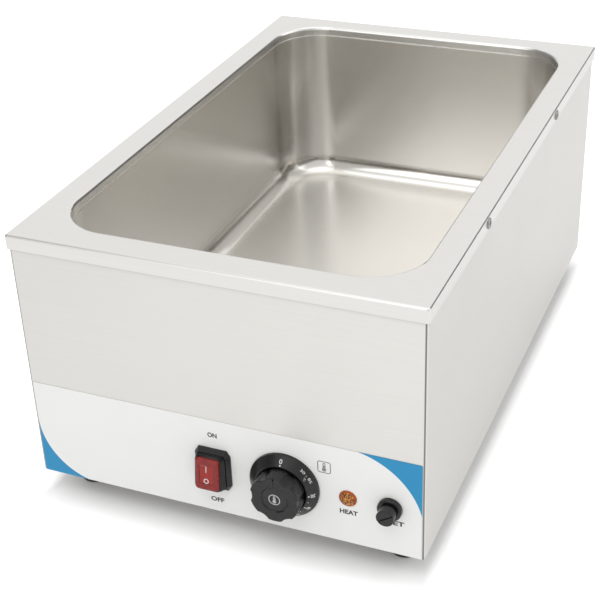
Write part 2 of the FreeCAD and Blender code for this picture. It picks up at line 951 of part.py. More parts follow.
def spindle_shape(play):
    """D-shaped spindle from inside the thermostat to the top of the knob's hub."""
    radius = spindle_diameter / 2 + play
    top = knob_top_inside - knob_wall / 2
    spindle = rod(radius, bracket_back - spindle_depth, top + play)
    flat_x = spindle_diameter / 2 - spindle_flat + play
    flat = block(V(flat_x, -2 * radius, knob_back + tiny - play), V(2 * radius, 2 * radius, top + sheet))
    return spindle.cut(flat)


def thermostat_spindle():
    return on_front(spindle_shape(0), dial_x)


def control_box(depth, neck_end, bore, bore_depth):
    """Body of a capillary control: box, threaded neck and diaphragm cup at the back."""
    box = slab(control_width, bay_body_height, 2 * sheet, bracket_back - depth, bracket_back)
    neck = rod(neck_diameter / 2, bracket_back, neck_end)
    cup = rod(cup_diameter / 2, bracket_back - depth - cup_depth, bracket_back - depth)
    hole = rod(bore / 2 + running, bracket_back - bore_depth, neck_end)
    return box.fuse(neck).fuse(cup).cut(hole)


def thermostat_body():
    body = control_box(
        thermostat_depth, ring_floor - swing_gap, spindle_diameter, spindle_depth + swing_gap,
    )
    return on_front(body, dial_x)


def control_bracket(fixings):
    """Plate that holds a control against the inside of the front panel."""
    plate = slab(
        control_width + bracket_overhang, bay_body_height, 2 * sheet, bracket_back, panel_back,
    )
    plate = plate.cut(rod(neck_diameter / 2 + hole_play, bracket_back, panel_back))
    for x in fixings:
        plate = plate.cut(moved(rod(m4 / 2 + running, bracket_back, panel_back), x, 0, 0))
    return plate


def thermostat_bracket():
    half = thermostat_screw_spacing / 2
    return on_front(control_bracket((-half, half)), dial_x)


def thermostat_screws():
    """Two screws that clamp the scale ring, the panel and the bracket."""
    length = ring_floor - bracket_back - running
    screw = moved(pan_screw(m4, length, m4_head, m4_head_height), 0, 0, ring_floor)
    half = thermostat_screw_spacing / 2
    return group([on_front(screw, dial_x + side * half) for side in (-1, 1)])


def terminal_row(depth):
    """Push-on tabs beside the diaphragm cup of a control."""
    row = []
    for side in (-1, 1):
        row.append(moved(tabs(1, depth - bracket_back)[0], side * terminal_offset, 0, 0))
    return group(row)


def thermostat_terminals():
    return on_front(terminal_row(thermostat_depth), dial_x)


# Heating lamp

def lamp_lens():
    """Low domed lens on the lamp's flange."""
    radius = lamp_lens_diameter / 2
    ball = (radius ** 2 + lamp_dome ** 2) / (2 * lamp_dome)
    sphere = Part.makeSphere(ball, V(0, 0, lamp_flange + lamp_dome - ball))
    dome = sphere.common(rod(radius, lamp_flange, lamp_flange + lamp_dome + sheet))
    return on_front(dome, lamp_x)


def lamp_body():
    """Flanged barrel with two tabs at the back."""
    flange = lathe([
        (0, 0, 0),
        (lamp_flange_diameter / 2, 0, 0),
        (lamp_flange_diameter / 2, lamp_flange, lamp_flange / 2),
        (0, lamp_flange, 0),
    ])
    shape = flange.fuse(rod(lamp_barrel / 2, -lamp_depth, 0))
    for tab in tabs(2, lamp_depth, lamp_barrel / 2):
        shape = shape.fuse(tab)
    return on_front(shape, lamp_x)


def lamp_nut():
    """Round nut with flats behind the panel."""
    ring = rod(lamp_nut_diameter / 2, panel_back - lamp_nut_thickness, panel_back)
    ring = ring.common(hexagon(lamp_nut_flats, panel_back - lamp_nut_thickness, panel_back))
    return on_front(ring.cut(rod(lamp_barrel / 2 + running, -lamp_depth, 0)), lamp_x)


# Safety limiter with its manual reset

neck_end = collar_reach + limiter_neck_proud
pin_end = neck_end + reset_pin_proud


def reset_collar():
    """Round nut that clamps the limiter's neck to the panel."""
    ring = lathe([
        (neck_diameter / 2 + running, 0, 0),
        (collar_diameter / 2, 0, slip),
        (collar_diameter / 2, collar_reach, 2 * slip),
        (neck_diameter / 2 + running, collar_reach, 0),
    ])
    return on_front(ring, reset_x)


def reset_cap():
    """Slotted cap over the reset pin."""
    outer = reset_cap_diameter / 2
    bore = neck_diameter / 2 + running
    cap = lathe([
        (bore, collar_reach + seat_gap, 0),
        (outer, collar_reach + seat_gap, slip / 2),
        (outer, reset_cap_reach, slip),
        (0, reset_cap_reach, 0),
        (0, reset_cap_reach - reset_cap_wall, 0),
        (bore, reset_cap_reach - reset_cap_wall, 0),
    ])
    slot = block(
        V(-outer, -reset_slot_width / 2, reset_cap_reach - reset_slot_depth),
        V(outer, reset_slot_width / 2, reset_cap_reach + sheet),
    )
    slot.rotate(V(0, 0, 0), V(0, 0, 1), reset_slot_angle)
    return on_front(cap.cut(slot), reset_x)


def reset_button():
    """Pin that trips the limiter back in when it is pressed."""
    foot_end = bracket_back - spindle_depth
    return on_front(rod(reset_pin_diameter / 2, foot_end, pin_end), reset_x)


def limiter_body():
    depth = spindle_depth + reset_pin_travel + swing_gap
    return on_front(control_box(limiter_depth, neck_end, reset_pin_diameter, depth), reset_x)


def limiter_bracket():
    return on_front(control_bracket(()), reset_x)


def limiter_terminals():
    return on_front(terminal_row(limiter_depth), reset_x)


# Sensors under the tank

def sensor(start, lane, level):
    """Capillary from the back of a control to a bulb that lies against the tank."""
    points = [
        start,
        start + V(0, 3 * capillary_bend, 0),
        V(lane, element_turn_front - 2 * capillary_bend, level),
        V(lane, bar_places[0] + bar_width, level),
        V(lane, bulb_start - capillary_bend, bulb_z),
        V(lane, bulb_start, bulb_z),
    ]
    capillary = tube(points, capillary_diameter / 2, capillary_bend)
    bulb = lathe([
        (0, 0, 0),
        (bulb_diameter / 2, 0, slip),
        (bulb_diameter / 2, bulb_length, slip),
        (0, bulb_length, 0),
    ])
    bulb.rotate(V(0, 0, 0), V(1, 0, 0), -90)
    bulb.translate(V(lane, bulb_start, bulb_z))
    return capillary.fuse(bulb)


def sensor_start(x, depth):
    """Middle of the diaphragm cup at the back of a control."""
    return V(x, face_y - bracket_back + depth + cup_depth, control_z)


def thermostat_sensor():
    level = bar_top - 3 * capillary_diameter
    return sensor(sensor_start(dial_x, thermostat_depth), bulb_spacing / 2, level)


def limiter_sensor():
    level = bar_top - 6 * capillary_diameter
    return sensor(sensor_start(reset_x, limiter_depth), -bulb_spacing / 2, level)


# Heating element and what clamps it

def element_lane(k):
    return (k - (element_passes - 1) / 2) * element_pitch


def heating_element():
    """Tubular element bent to and fro in one level under the tank."""
    points = [V(element_lane(0), element_front, element_z)]
    for k in range(element_passes):
        at_back = k % 2 == 0
        turn = element_back if at_back else element_turn_front
        if k > 0:
            points.append(V(element_lane(k), element_turn_front if at_back else element_back, element_z))
        if k < element_passes - 1:
            points.append(V(element_lane(k), turn, element_z))
    last = element_front if element_passes % 2 == 0 else element_back
    points.append(V(element_lane(element_passes - 1), last, element_z))
    return tube(points, element_diameter / 2, element_pitch / 2 - tiny)


def element_pins():
    """Cold ends that take the leads."""
    pins = []
    for k in (0, element_passes - 1):
        pin = Part.makeCylinder(
            element_pin_diameter / 2, element_pin_length,
            V(element_lane(k), element_front - element_pin_length, element_z), V(0, 1, 0),
        )
        pins.append(pin)
    return group(pins)


def stud_places():
    return [(side * element_pitch, y) for y in bar_places for side in (-1, 1)]


def clamp_bars():
    """Three flat bars that press the element and the bulbs to the tank."""
    bars = []
    for y in bar_places:
        bar = moved(slab(bar_length, bar_width, 2 * sheet, bar_top - bar_thickness, bar_top), 0, y, 0)
        for side in (-1, 1):
            x = side * element_pitch
            bar = bar.cut(rod(stud_diameter / 2 + hole_play, bar_top - bar_thickness, bar_top, x, y))
        bars.append(bar)
    return group(bars)


def tank_studs():
    """Studs welded to the underside of the tank."""
    stud = rod(stud_diameter / 2, tank_under - stud_length, tank_under)
    return group([moved(stud, x, y, 0) for x, y in stud_places()])


def bar_nuts():
    level = bar_top - bar_thickness - m5_nut
    return group([moved(nut(m5_flats, m5_nut, stud_diameter), x, y, level) for x, y in stud_places()])


# Cable gland, bonding terminal and terminal block

def gland_body():
    """Hexagon with a thread through the panel and an open bore."""
    thread_end = -(2 * sheet + locknut_thickness + slip)
    shape = hexagon(gland_flats, 0, gland_hex).fuse(rod(gland_thread / 2, thread_end, 0))
    shape = shape.fuse(rod(gland_thread / 2 - slip, 0, gland_hex + seal_length / 3))
    bore = rod(gland_bore / 2 + running, thread_end, gland_hex + seal_length)
    return on_back(shape.cut(bore), gland_x, gland_z)


def gland_nut():
    """Domed compression nut."""
    top = gland_hex + gland_nut_reach
    outer = gland_flats / 2
    dome = lathe([
        (gland_thread / 2 - slip + running, gland_hex + seat_gap, 0),
        (outer, gland_hex + seat_gap, slip),
        (outer, gland_hex + gland_nut_reach * 0.5, slip),
        (outer - 2 * sheet, top, 3 * sheet),
        (cable_bore / 2 + sheet, top, 0),
        (cable_bore / 2 + sheet, gland_hex + seal_length - 2 * sheet, 0),
        (gland_bore / 2 + running, gland_hex + seal_length - 2 * sheet, 0),
        (gland_bore / 2 + running, gland_hex + seal_length / 3 + seat_gap, 0),
        (gland_thread / 2 - slip + running, gland_hex + seal_length / 3 + seat_gap, 0),
    ])
    return on_back(dome, gland_x, gland_z)


def gland_seal():
    """Rubber sleeve that grips the cable."""
    low = gland_hex - 2 * sheet - seat_gap
    sleeve = rod(gland_bore / 2, low, low + seal_length).cut(rod(cable_bore / 2, low, low + seal_length))
    return on_back(sleeve, gland_x, gland_z)


def gland_locknut():
    shape = flipped(nut(gland_flats, locknut_thickness, gland_thread))
    return on_back(shape, gland_x, gland_z, back_y - sheet)


def bonding_stud():
    """Stud for a bonding lead, necked outside its nut, with its head inside the back panel."""
    stud = hexagon(m5_flats, -sheet - m5_nut, -sheet).fuse(rod(m5 / 2, -sheet - m5_nut, m5_nut))
    stud = stud.fuse(rod(m5 / 2 - hole_play, m5_nut, m5_nut + sheet))
    stud = stud.fuse(rod(m5 / 2, m5_nut + sheet, bonding_reach))
    return on_back(stud, bonding_x, bonding_z)


def bonding_nut():
    return on_back(nut(m5_flats, m5_nut, m5), bonding_x, bonding_z)


def terminal_block():
    """Moulded block with a screw well over each pole."""
    shape = slab(block_width, block_length, sheet, 0, block_height)
    for k in range(block_poles):
        x = (k - (block_poles - 1) / 2) * block_pitch
        well = rod(block_well_diameter / 2, block_height - block_well_depth, block_height, x, 0)
        entry = Part.makeCylinder(
            block_entry_diameter / 2, block_length, V(x, -block_length / 2, block_entry_height), V(0, 1, 0),
        )
        shape = shape.cut(well).cut(entry)
    return moved(shape, gland_x, block_y, base_top)


# Wiring

def push_on_sleeve(x, tab_end):
    """Sleeve over a control's tab, from the middle of the tab to past its end."""
    middle = tab_end - tab_length / 2
    half_x = tab_thickness / 2 + sleeve_wall
    half_z = tab_width / 2 + sleeve_wall
    shell = slab(2 * half_x, 2 * half_z, sleeve_wall / 2, -sleeve_length, 0)
    shell = on_front(shell, x, control_z, middle)
    pocket = block(
        V(x - tab_thickness / 2 - running, middle - sheet, control_z - tab_width / 2 - running),
        V(x + tab_thickness / 2 + running, tab_end + running, control_z + tab_width / 2 + running),
    )
    return shell.cut(pocket)


def pin_sleeve(x):
    """Sleeve over one cold pin of the element."""
    front = element_front - element_pin_length - sleeve_length / 2
    radius = element_pin_diameter / 2
    shell = Part.makeCylinder(radius + sleeve_wall, sleeve_length, V(x, front, element_z), V(0, 1, 0))
    bore = Part.makeCylinder(
        radius + running, sleeve_length, V(x, front + sleeve_length / 2 - running, element_z), V(0, 1, 0),
    )
    return shell.cut(bore)


def lead(start, landing):
    """Single wire that runs level over its landing and drops into the loom."""
    return tube([start, V(start.x, landing.y, start.z), landing], lead_diameter / 2, lead_bend)


def tab_ends():
    """Places across and along where the controls' tabs end."""
    ends = []
    for side in (-1, 1):
        ends.append((switch_x + side * tab_spacing / 2, face_y + housing_depth + tab_length))
        ends.append((dial_x + side * terminal_offset, face_y - bracket_back + thermostat_depth + tab_length))
        ends.append((lamp_x + side * lamp_barrel / 4, face_y + lamp_depth + tab_length))
        ends.append((reset_x + side * terminal_offset, face_y - bracket_back + limiter_depth + tab_length))
    return ends


def wiring_harness():
    """Bundle along the base plate from the terminal block, with a lead to every tab and pin."""
    end_x = element_lane(0) - loom_overrun
    corner_y = block_y - block_length / 2
    route = [
        V(gland_x, corner_y - running, loom_z),
        V(gland_x, corner_y - 2 * loom_bend, loom_z),
        V(loom_x, corner_y - 4 * loom_bend, loom_z),
        V(loom_x, loom_y, loom_z),
        V(end_x, loom_y, loom_z),
    ]
    harness = tube(route, loom_diameter / 2, loom_bend)
    for x, tab_end in tab_ends():
        start = V(x, tab_end - tab_length / 2 + sleeve_length - sleeve_wall, control_z)
        landing = V(x, loom_y - lead_stagger, loom_z)
        if x > loom_x:
            landing = V(loom_x, loom_y + loom_bend + 2 * lead_diameter, loom_z)
        harness = harness.fuse(lead(start, landing)).fuse(push_on_sleeve(x, tab_end))
    for k in (0, element_passes - 1):
        x = element_lane(k)
        start = V(x, element_front - element_pin_length - sleeve_length / 2 + sleeve_wall, element_z)
        harness = harness.fuse(lead(start, V(x, loom_y + lead_stagger, loom_z))).fuse(pin_sleeve(x))
    return harness


def harness_clip():
    """Saddle over the loom, with a foot on each side; the loom runs along Y under it."""
    inside = loom_diameter / 2 + seat_gap
    outside = inside + sheet
    height = loom_z - base_top
    arch = Part.makeCylinder(outside, clip_width, V(0, 0, height), V(0, 1, 0))
    arch = arch.fuse(block(V(-outside, 0, 0), V(outside, clip_width, height)))
    arch = arch.common(block(V(-outside, 0, 0), V(outside, clip_width, height + outside)))
    arch = arch.fuse(block(
        V(-outside - clip_foot, 0, 0), V(outside + clip_foot, clip_width, sheet),
    ))
    tunnel = Part.makeCylinder(inside, clip_width, V(0, 0, height), V(0, 1, 0))
    tunnel = tunnel.fuse(block(V(-inside, 0, 0), V(inside, clip_width, height)))
    return moved(arch.cut(tunnel), 0, -clip_width / 2, base_top)


def harness_clips():
    """Two clips along the right side and two along the front."""
    clips = []
    for side in (-1, 1):
        clips.append(moved(harness_clip(), loom_x, side * clip_setback, 0))
        across = harness_clip()
        across.rotate(V(0, 0, 0), V(0, 0, 1), 90)
        clips.append(moved(across, side * clip_setback - loom_diameter, loom_y, 0))
    return group(clips)


nodes = {
    "top_deck": top_deck,
    "water_tank": water_tank,
    "body_wrap": body_wrap,
    "back_panel": back_panel,
    "base_plate": base_plate,
    "fascia_label": fascia_label,
    "foot_front_left": lambda: foot(-foot_x, -foot_y),
    "foot_front_right": lambda: foot(foot_x, -foot_y),
    "foot_rear_left": lambda: foot(-foot_x, foot_y),
    "foot_rear_right": lambda: foot(foot_x, foot_y),
    "foot_screws": foot_screws,
    "foot_nuts": foot_nuts,
    "deck_screws": deck_screws,
    "deck_nuts": deck_nuts,
    "base_screws": base_screws,
    "panel_screws": panel_screws,
    "switch_frame": switch_frame,
    "switch_housing": switch_housing,
    "switch_terminals": switch_terminals,
    "switch_rocker": switch_rocker,
    "switch_lens": switch_lens,
    "switch_carrier": switch_carrier,
    "switch_boot": switch_boot,
    "dial_ring": dial_ring,
    "thermostat_knob": thermostat_knob,
    "knob_cap": knob_cap,
    "thermostat_spindle": thermostat_spindle,
    "thermostat_body": thermostat_body,
    "thermostat_bracket": thermostat_bracket,
    "thermostat_screws": thermostat_screws,
    "thermostat_terminals": thermostat_terminals,
    "thermostat_sensor": thermostat_sensor,
    "lamp_lens": lamp_lens,
    "lamp_body": lamp_body,
    "lamp_nut": lamp_nut,
    "reset_collar": reset_collar,
    "reset_cap": reset_cap,
    "reset_button": reset_button,
    "limiter_body": limiter_body,
    "limiter_bracket": limiter_bracket,
    "limiter_terminals": limiter_terminals,
    "limiter_sensor": limiter_sensor,
    "heating_element": heating_element,
    "element_pins": element_pins,
    "clamp_bars": clamp_bars,
    "tank_studs": tank_studs,
    "bar_nuts": bar_nuts,
    "gland_body": gland_body,
    "gland_nut": gland_nut,
    "gland_seal": gland_seal,
    "gland_locknut": gland_locknut,
    "bonding_stud": bonding_stud,
    "bonding_nut": bonding_nut,
    "terminal_block": terminal_block,
    "wiring_harness": wiring_harness,
    "harness_clips": harness_clips,
}

for name, make in nodes.items():
    shape = make()
    shape.exportStep(f"parts/{name}.step")
    print(name, len(shape.Solids), shape.isValid(), round(shape.Volume, 1))
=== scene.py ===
"""Countertop bain-marie: finishes, print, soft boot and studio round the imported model."""
import logging
import math
from dataclasses import dataclass, field
from enum import Enum
from functools import cache

import bmesh
import bpy
from bmesh.types import BMesh, BMVert
from bpy.types import Material, Mesh, Node, NodeSocket, NodeTree, Object, bpy_prop_collection
from mathutils import Matrix, Vector
from mathutils.geometry import delaunay_2d_cdt


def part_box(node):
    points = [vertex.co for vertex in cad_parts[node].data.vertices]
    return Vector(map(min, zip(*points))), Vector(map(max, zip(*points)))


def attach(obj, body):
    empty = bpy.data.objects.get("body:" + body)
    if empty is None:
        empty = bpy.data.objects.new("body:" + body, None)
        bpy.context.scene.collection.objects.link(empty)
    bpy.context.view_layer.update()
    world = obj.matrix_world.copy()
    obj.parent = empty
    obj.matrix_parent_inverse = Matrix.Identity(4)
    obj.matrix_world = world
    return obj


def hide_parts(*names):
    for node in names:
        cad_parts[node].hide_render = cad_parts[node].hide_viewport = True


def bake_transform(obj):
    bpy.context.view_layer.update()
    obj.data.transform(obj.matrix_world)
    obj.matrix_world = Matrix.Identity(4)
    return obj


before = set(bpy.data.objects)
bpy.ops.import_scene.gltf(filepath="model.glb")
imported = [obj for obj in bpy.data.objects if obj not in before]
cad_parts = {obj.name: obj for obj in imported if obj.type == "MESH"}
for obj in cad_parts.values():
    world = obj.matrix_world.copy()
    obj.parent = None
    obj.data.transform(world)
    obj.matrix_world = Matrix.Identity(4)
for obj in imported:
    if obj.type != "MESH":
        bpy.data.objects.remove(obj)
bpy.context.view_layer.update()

MM = 0.001
LOG = logging.getLogger("bain_marie")

Colour = tuple[float, float, float]
Point = tuple[float, float]
Spot = tuple[float, float, float]
SocketValue = NodeSocket | float | tuple

BLACK: Colour = (0.0, 0.0, 0.0)
WHITE: Colour = (1.0, 1.0, 1.0)
ACRYLIC_IOR = 1.49
LETTER_HALF_DEPTH = 0.5
LETTER_STEPS = 5
# Where a face counts as lying flat, by the upright part of its normal.
FLAT_BAND: Point = (0.6, 0.8)


class Body(Enum):
    """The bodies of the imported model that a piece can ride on."""

    CASING = "root"
    ROCKER = "rocker"
    KNOB = "knob"


class Ink(Enum):
    """The inks of the printed marks, and the dark red of a painted shade in the gap round the
    switch's lens.
    """

    DARK = "dark_ink"
    WHITE = "white_ink"
    SEAM = "seam_red"


class Beyond(Enum):
    """The side of a circle's centre, across and up, on which a corner of the film lies."""

    UPPER_RIGHT = "GREATER_THAN"
    LOWER_LEFT = "LESS_THAN"


def scaled(colour: Colour, gain: float) -> Colour:
    """A colour made brighter or darker."""
    return tuple(part * gain for part in colour)


# Shader graphs and shared effects


class ShaderGraph:
    """Short calls that add nodes to one node tree."""

    noise_roughness = 0.55
    colour_mix_inputs = (0, 6, 7)
    colour_mix_output = 2

    def __init__(self, tree: NodeTree) -> None:
        """Keep the tree of a material, a world or a group."""
        self.tree = tree

    def feed(self, socket: NodeSocket, value: SocketValue) -> None:
        """Link an input, or set it to a plain value.

        Args:
            socket: The input.
            value: An output socket, a number, a vector or a colour.
        """
        if isinstance(value, NodeSocket):
            self.tree.links.new(value, socket)
        elif socket.type == "RGBA" and len(value) == 3:
            socket.default_value = (*value, 1.0)
        else:
            socket.default_value = value

    def node(
        self, kind: str, inputs: dict[str | int, SocketValue] | None = None, **settings: object
    ) -> Node:
        """Add a node.

        Args:
            kind: The node's type name.
            inputs: What each input gets, by name or by number.
            settings: The node's own properties.

        Returns:
            The new node.
        """
        made = self.tree.nodes.new(kind)
        for name, value in settings.items():
            setattr(made, name, value)
        for key, value in (inputs or {}).items():
            self.feed(made.inputs[key], value)
        return made

    def calc(self, operation: str, first: SocketValue, second: SocketValue = 0.0) -> NodeSocket:
        """Add a Math node and return its value."""
        return self.node("ShaderNodeMath", {0: first, 1: second}, operation=operation).outputs[0]

    def vector(self, operation: str, first: SocketValue, second: SocketValue = BLACK) -> Node:
        """Add a Vector Math node."""
        return self.node("ShaderNodeVectorMath", {0: first, 1: second}, operation=operation)

    def join(self, *parts: SocketValue) -> NodeSocket:
        """A vector of three parts."""
        return self.node("ShaderNodeCombineXYZ", dict(enumerate(parts))).outputs[0]

    def split(self, vector: SocketValue) -> tuple[NodeSocket, ...]:
        """The three parts of a vector."""
        return tuple(self.node("ShaderNodeSeparateXYZ", {"Vector": vector}).outputs)

    def mix(self, share: SocketValue, first: NodeSocket, second: NodeSocket) -> NodeSocket:
        """Mix two shaders: first at a share of 0, second at 1."""
        return self.node("ShaderNodeMixShader", {0: share, 1: first, 2: second}).outputs[0]

    def blend(self, share: SocketValue, first: SocketValue, second: SocketValue) -> NodeSocket:
        """Mix two colours: first at a share of 0, second at 1."""
        inputs = dict(zip(self.colour_mix_inputs, (share, first, second)))
        return self.node("ShaderNodeMix", inputs, data_type="RGBA").outputs[self.colour_mix_output]

    def remap(
        self, value: SocketValue, low: float, high: float, start: float = 0.0, end: float = 1.0
    ) -> NodeSocket:
        """Carry a value smoothly from one range to another.

        Args:
            value: The value.
            low: Where the old range starts.
            high: Where the old range ends.
            start: What the low end becomes.
            end: What the high end becomes.

        Returns:
            The value in the new range.
        """
        inputs = {
            "Value": value, "From Min": low, "From Max": high, "To Min": start, "To Max": end,
        }
        made = self.node("ShaderNodeMapRange", inputs, interpolation_type="SMOOTHSTEP")
        return made.outputs["Result"]

    def noise(self, vector: SocketValue, scale: SocketValue, detail: float = 2.0) -> NodeSocket:
        """Add a Noise Texture.

        Args:
            vector: The place.
            scale: How many grains there are to a unit of it.
            detail: How many finer layers lie on top.

        Returns:
            Its grey value.
        """
        inputs = {
            "Vector": vector, "Scale": scale, "Detail": detail, "Roughness": self.noise_roughness,
        }
        return self.node("ShaderNodeTexNoise", inputs).outputs["Fac"]

    def millimetres(self) -> NodeSocket:
        """The place on the piece, in millimetres of the shared frame."""
        place = self.node("ShaderNodeTexCoord").outputs["Object"]
        return self.vector("MULTIPLY", place, (1 / MM, 1 / MM, 1 / MM)).outputs["Vector"]

    def normal(self) -> NodeSocket:
        """The face's own normal."""
        return self.node("ShaderNodeNewGeometry").outputs["Normal"]

    def levelness(self) -> NodeSocket:
        """How level the face lies, from 0 where it is upright to 1."""
        return self.calc("ABSOLUTE", self.split(self.normal())[2])

    def effect(self, tree: NodeTree, inputs: dict[str, float] | None = None) -> Node:
        """Place a shared effect."""
        return self.node("ShaderNodeGroup", inputs, node_tree=tree)

    def mirrored(self, path: bpy_prop_collection) -> NodeSocket:
        """Whether a ray comes off metal or through glass, by the outputs of a Light Path."""
        return self.calc("MAXIMUM", path["Is Glossy Ray"], path["Is Transmission Ray"])


class Effect(ShaderGraph):
    """A node group in the making, which several finishes share."""

    def __init__(self, name: str, *sizes: str) -> None:
        """Start the group.

        Args:
            name: Its name.
            sizes: The names of its inputs, which are numbers.
        """
        super().__init__(bpy.data.node_groups.new(name, "ShaderNodeTree"))
        for size in sizes:
            self.tree.interface.new_socket(
                name=size, in_out="INPUT", socket_type="NodeSocketFloat"
            )
        self.given = self.tree.nodes.new("NodeGroupInput").outputs

    def fineness(self, size: str) -> NodeSocket:
        """How often a given size goes into a millimetre."""
        return self.calc("DIVIDE", 1.0, self.given[size])

    def give(self, **outputs: NodeSocket) -> NodeTree:
        """Close the group.

        Args:
            outputs: What its outputs get: Normal is a vector, any other a number.

        Returns:
            Its node tree.
        """
        for label in outputs:
            kind = "NodeSocketVector" if label == "Normal" else "NodeSocketFloat"
            self.tree.interface.new_socket(name=label, in_out="OUTPUT", socket_type=kind)
        self.node("NodeGroupOutput", outputs)
        return self.tree


@cache
def brushed_grain() -> NodeTree:
    """Fine parallel lines: level on upright faces, along the front edge on flat ones.

    Returns:
        The effect, with the lines' Height and their Tone.
    """
    band_scale = 0.21
    group = Effect("brushed_grain", "Line Length", "Line Width")
    flat = group.remap(group.levelness(), *FLAT_BAND)
    steep = group.calc("SUBTRACT", 1.0, flat)
    fine, slow = group.fineness("Line Width"), group.fineness("Line Length")
    span = group.calc("SUBTRACT", fine, slow)
    scales = [slow]
    for share in (flat, steep):
        scales.append(group.calc("ADD", slow, group.calc("MULTIPLY", span, share)))
    parts = zip(group.split(group.millimetres()), scales)
    place = group.join(*(group.calc("MULTIPLY", part, scale) for part, scale in parts))
    lines = group.noise(place, 1.0, detail=3.0)
    both = group.calc("ADD", lines, group.noise(place, band_scale))
    return group.give(Height=lines, Tone=group.calc("MULTIPLY", both, 0.5))


@cache
def handling_marks() -> NodeTree:
    """Faint patches of two sizes, where a surface has been wiped and touched.

    Returns:
        The effect, with their Mask.
    """
    finer, wide_share, band = 4.3, 0.7, (0.38, 0.66)
    group = Effect("handling_marks", "Patch Size")
    place, scale = group.millimetres(), group.fineness("Patch Size")
    wide = group.calc("MULTIPLY", group.noise(place, scale, detail=3.0), wide_share)
    small = group.noise(place, group.calc("MULTIPLY", scale, finer), detail=4.0)
    small = group.calc("MULTIPLY", small, 1 - wide_share)
    return group.give(Mask=group.remap(group.calc("ADD", wide, small), *band))


@cache
def moulded_skin() -> NodeTree:
    """The fine even grain of a moulded or rubber surface.

    Returns:
        The effect, with the grain's Height and a slower Tone.
    """
    slower = 0.06
    group = Effect("moulded_skin", "Grain Size")
    place, scale = group.millimetres(), group.fineness("Grain Size")
    flow = group.noise(place, group.calc("MULTIPLY", scale, slower))
    return group.give(Height=group.noise(place, scale), Tone=flow)


@cache
def bend_lines() -> NodeTree:
    """Where an upright sheet bends into the front or the back, on that side of the bend: the mask
    of a painted dark reflection.

    Returns:
        The effect, with the bend's Mask.
    """
    turned_band, facing_band = (0.12, 0.3), (0.62, 0.8)
    group = Effect("bend_lines")
    across, along, _ = group.split(group.normal())
    turned = group.remap(group.calc("ABSOLUTE", across), *turned_band)
    facing = group.remap(group.calc("ABSOLUTE", along), *facing_band)
    return group.give(Mask=group.calc("MULTIPLY", turned, facing))


@cache
def crevices() -> NodeTree:
    """Where a surface runs in under another, found by ambient occlusion: the mask of a painted
    shade.

    Returns:
        The effect, with its Mask.
    """
    open_band = (0.55, 0.98)
    group = Effect("crevices", "Reach")
    reach = group.calc("MULTIPLY", group.given["Reach"], MM)
    around = group.node("ShaderNodeAmbientOcclusion", {"Distance": reach}, samples=8)
    return group.give(Mask=group.remap(around.outputs["AO"], *open_band, 1.0, 0.0))


@cache
def worn_edges() -> NodeTree:
    """Softened edges, found by how far the softened normal leaves the face's own.

    Returns:
        The effect, with the soft Normal and the edges' Mask.
    """
    turned_band = (0.02, 0.22)
    group = Effect("worn_edges", "Radius")
    radius = group.calc("MULTIPLY", group.given["Radius"], MM)
    soft = group.node("ShaderNodeBevel", {"Radius": radius}, samples=4).outputs["Normal"]
    agree = group.vector("DOT_PRODUCT", soft, group.normal()).outputs["Value"]
    turned = group.calc("SUBTRACT", 1.0, agree)
    return group.give(Normal=soft, Mask=group.remap(turned, *turned_band))


class Surface(ShaderGraph):
    """A material in the making: its graph, its shader and the shared effects laid on it."""

    def __init__(self, name: str) -> None:
        """Start a material with a name.

        Args:
            name: The name.
        """
        self.material = bpy.data.materials.new(name)
        self.material.use_nodes = True
        super().__init__(self.material.node_tree)
        self.shader = self.tree.nodes["Principled BSDF"]

    def put(self, **inputs: SocketValue) -> None:
        """Link or set the shader's inputs, with underscores for spaces."""
        for name, value in inputs.items():
            self.feed(self.shader.inputs[name.replace("_", " ")], value)

    def marks(self, size: float) -> NodeSocket:
        """Where the surface has been touched, in patches of a size in millimetres."""
        return self.effect(handling_marks(), {"Patch Size": size}).outputs["Mask"]

    def grain(self, length: float, width: float) -> Node:
        """Brushed lines of a length and a width in millimetres."""
        return self.effect(brushed_grain(), {"Line Length": length, "Line Width": width})

    def skin(self, size: float) -> Node:
        """A moulded grain of a size in millimetres."""
        return self.effect(moulded_skin(), {"Grain Size": size})

    def edges(self, radius: float) -> Node:
        """Edges softened over a radius in millimetres."""
        return self.effect(worn_edges(), {"Radius": radius})

    def worn(self, marks: SocketValue, roughness: float, wear: Point) -> NodeSocket:
        """A roughness that is lower where nothing has touched the surface, and higher in marks."""
        return self.remap(marks, 0.0, 1.0, roughness - wear[0], roughness + wear[1])

    def shaded(self, base: NodeSocket, effect: Node, share: float) -> NodeSocket:
        """A colour darkened by a share where an effect's mask is."""
        return self.blend(self.calc("MULTIPLY", effect.outputs["Mask"], share), base, BLACK)

    def glow(self, base: NodeSocket, clearness: float, strength: float) -> None:
        """Make the material clear plastic that glows a little from within.

        Args:
            base: Its colour.
            clearness: How much light goes through.
            strength: How much it glows.
        """
        self.put(
            Base_Color=base,
            Emission_Color=base,
            Emission_Strength=strength,
            Transmission_Weight=clearness,
            IOR=ACRYLIC_IOR,
        )

    def relief(self, height: SocketValue, depth: float, normal: NodeSocket | None = None) -> None:
        """Give the shader a fine relief.

        Args:
            height: The relief, from 0 to 1.
            depth: Its depth in millimetres.
            normal: The normal under the relief, where it isn't the face's own.
        """
        inputs = {"Height": height, "Distance": depth * MM, "Strength": 1.0}
        if normal is not None:
            inputs["Normal"] = normal
        self.put(Normal=self.node("ShaderNodeBump", inputs).outputs["Normal"])


# Finishes


class Finish:
    """What a slot of the record, or an ink, is made of. Its lengths are in millimetres."""

    def wire(self, surface: Surface) -> None:
        """Lay the finish on a material in the making."""
        raise NotImplementedError


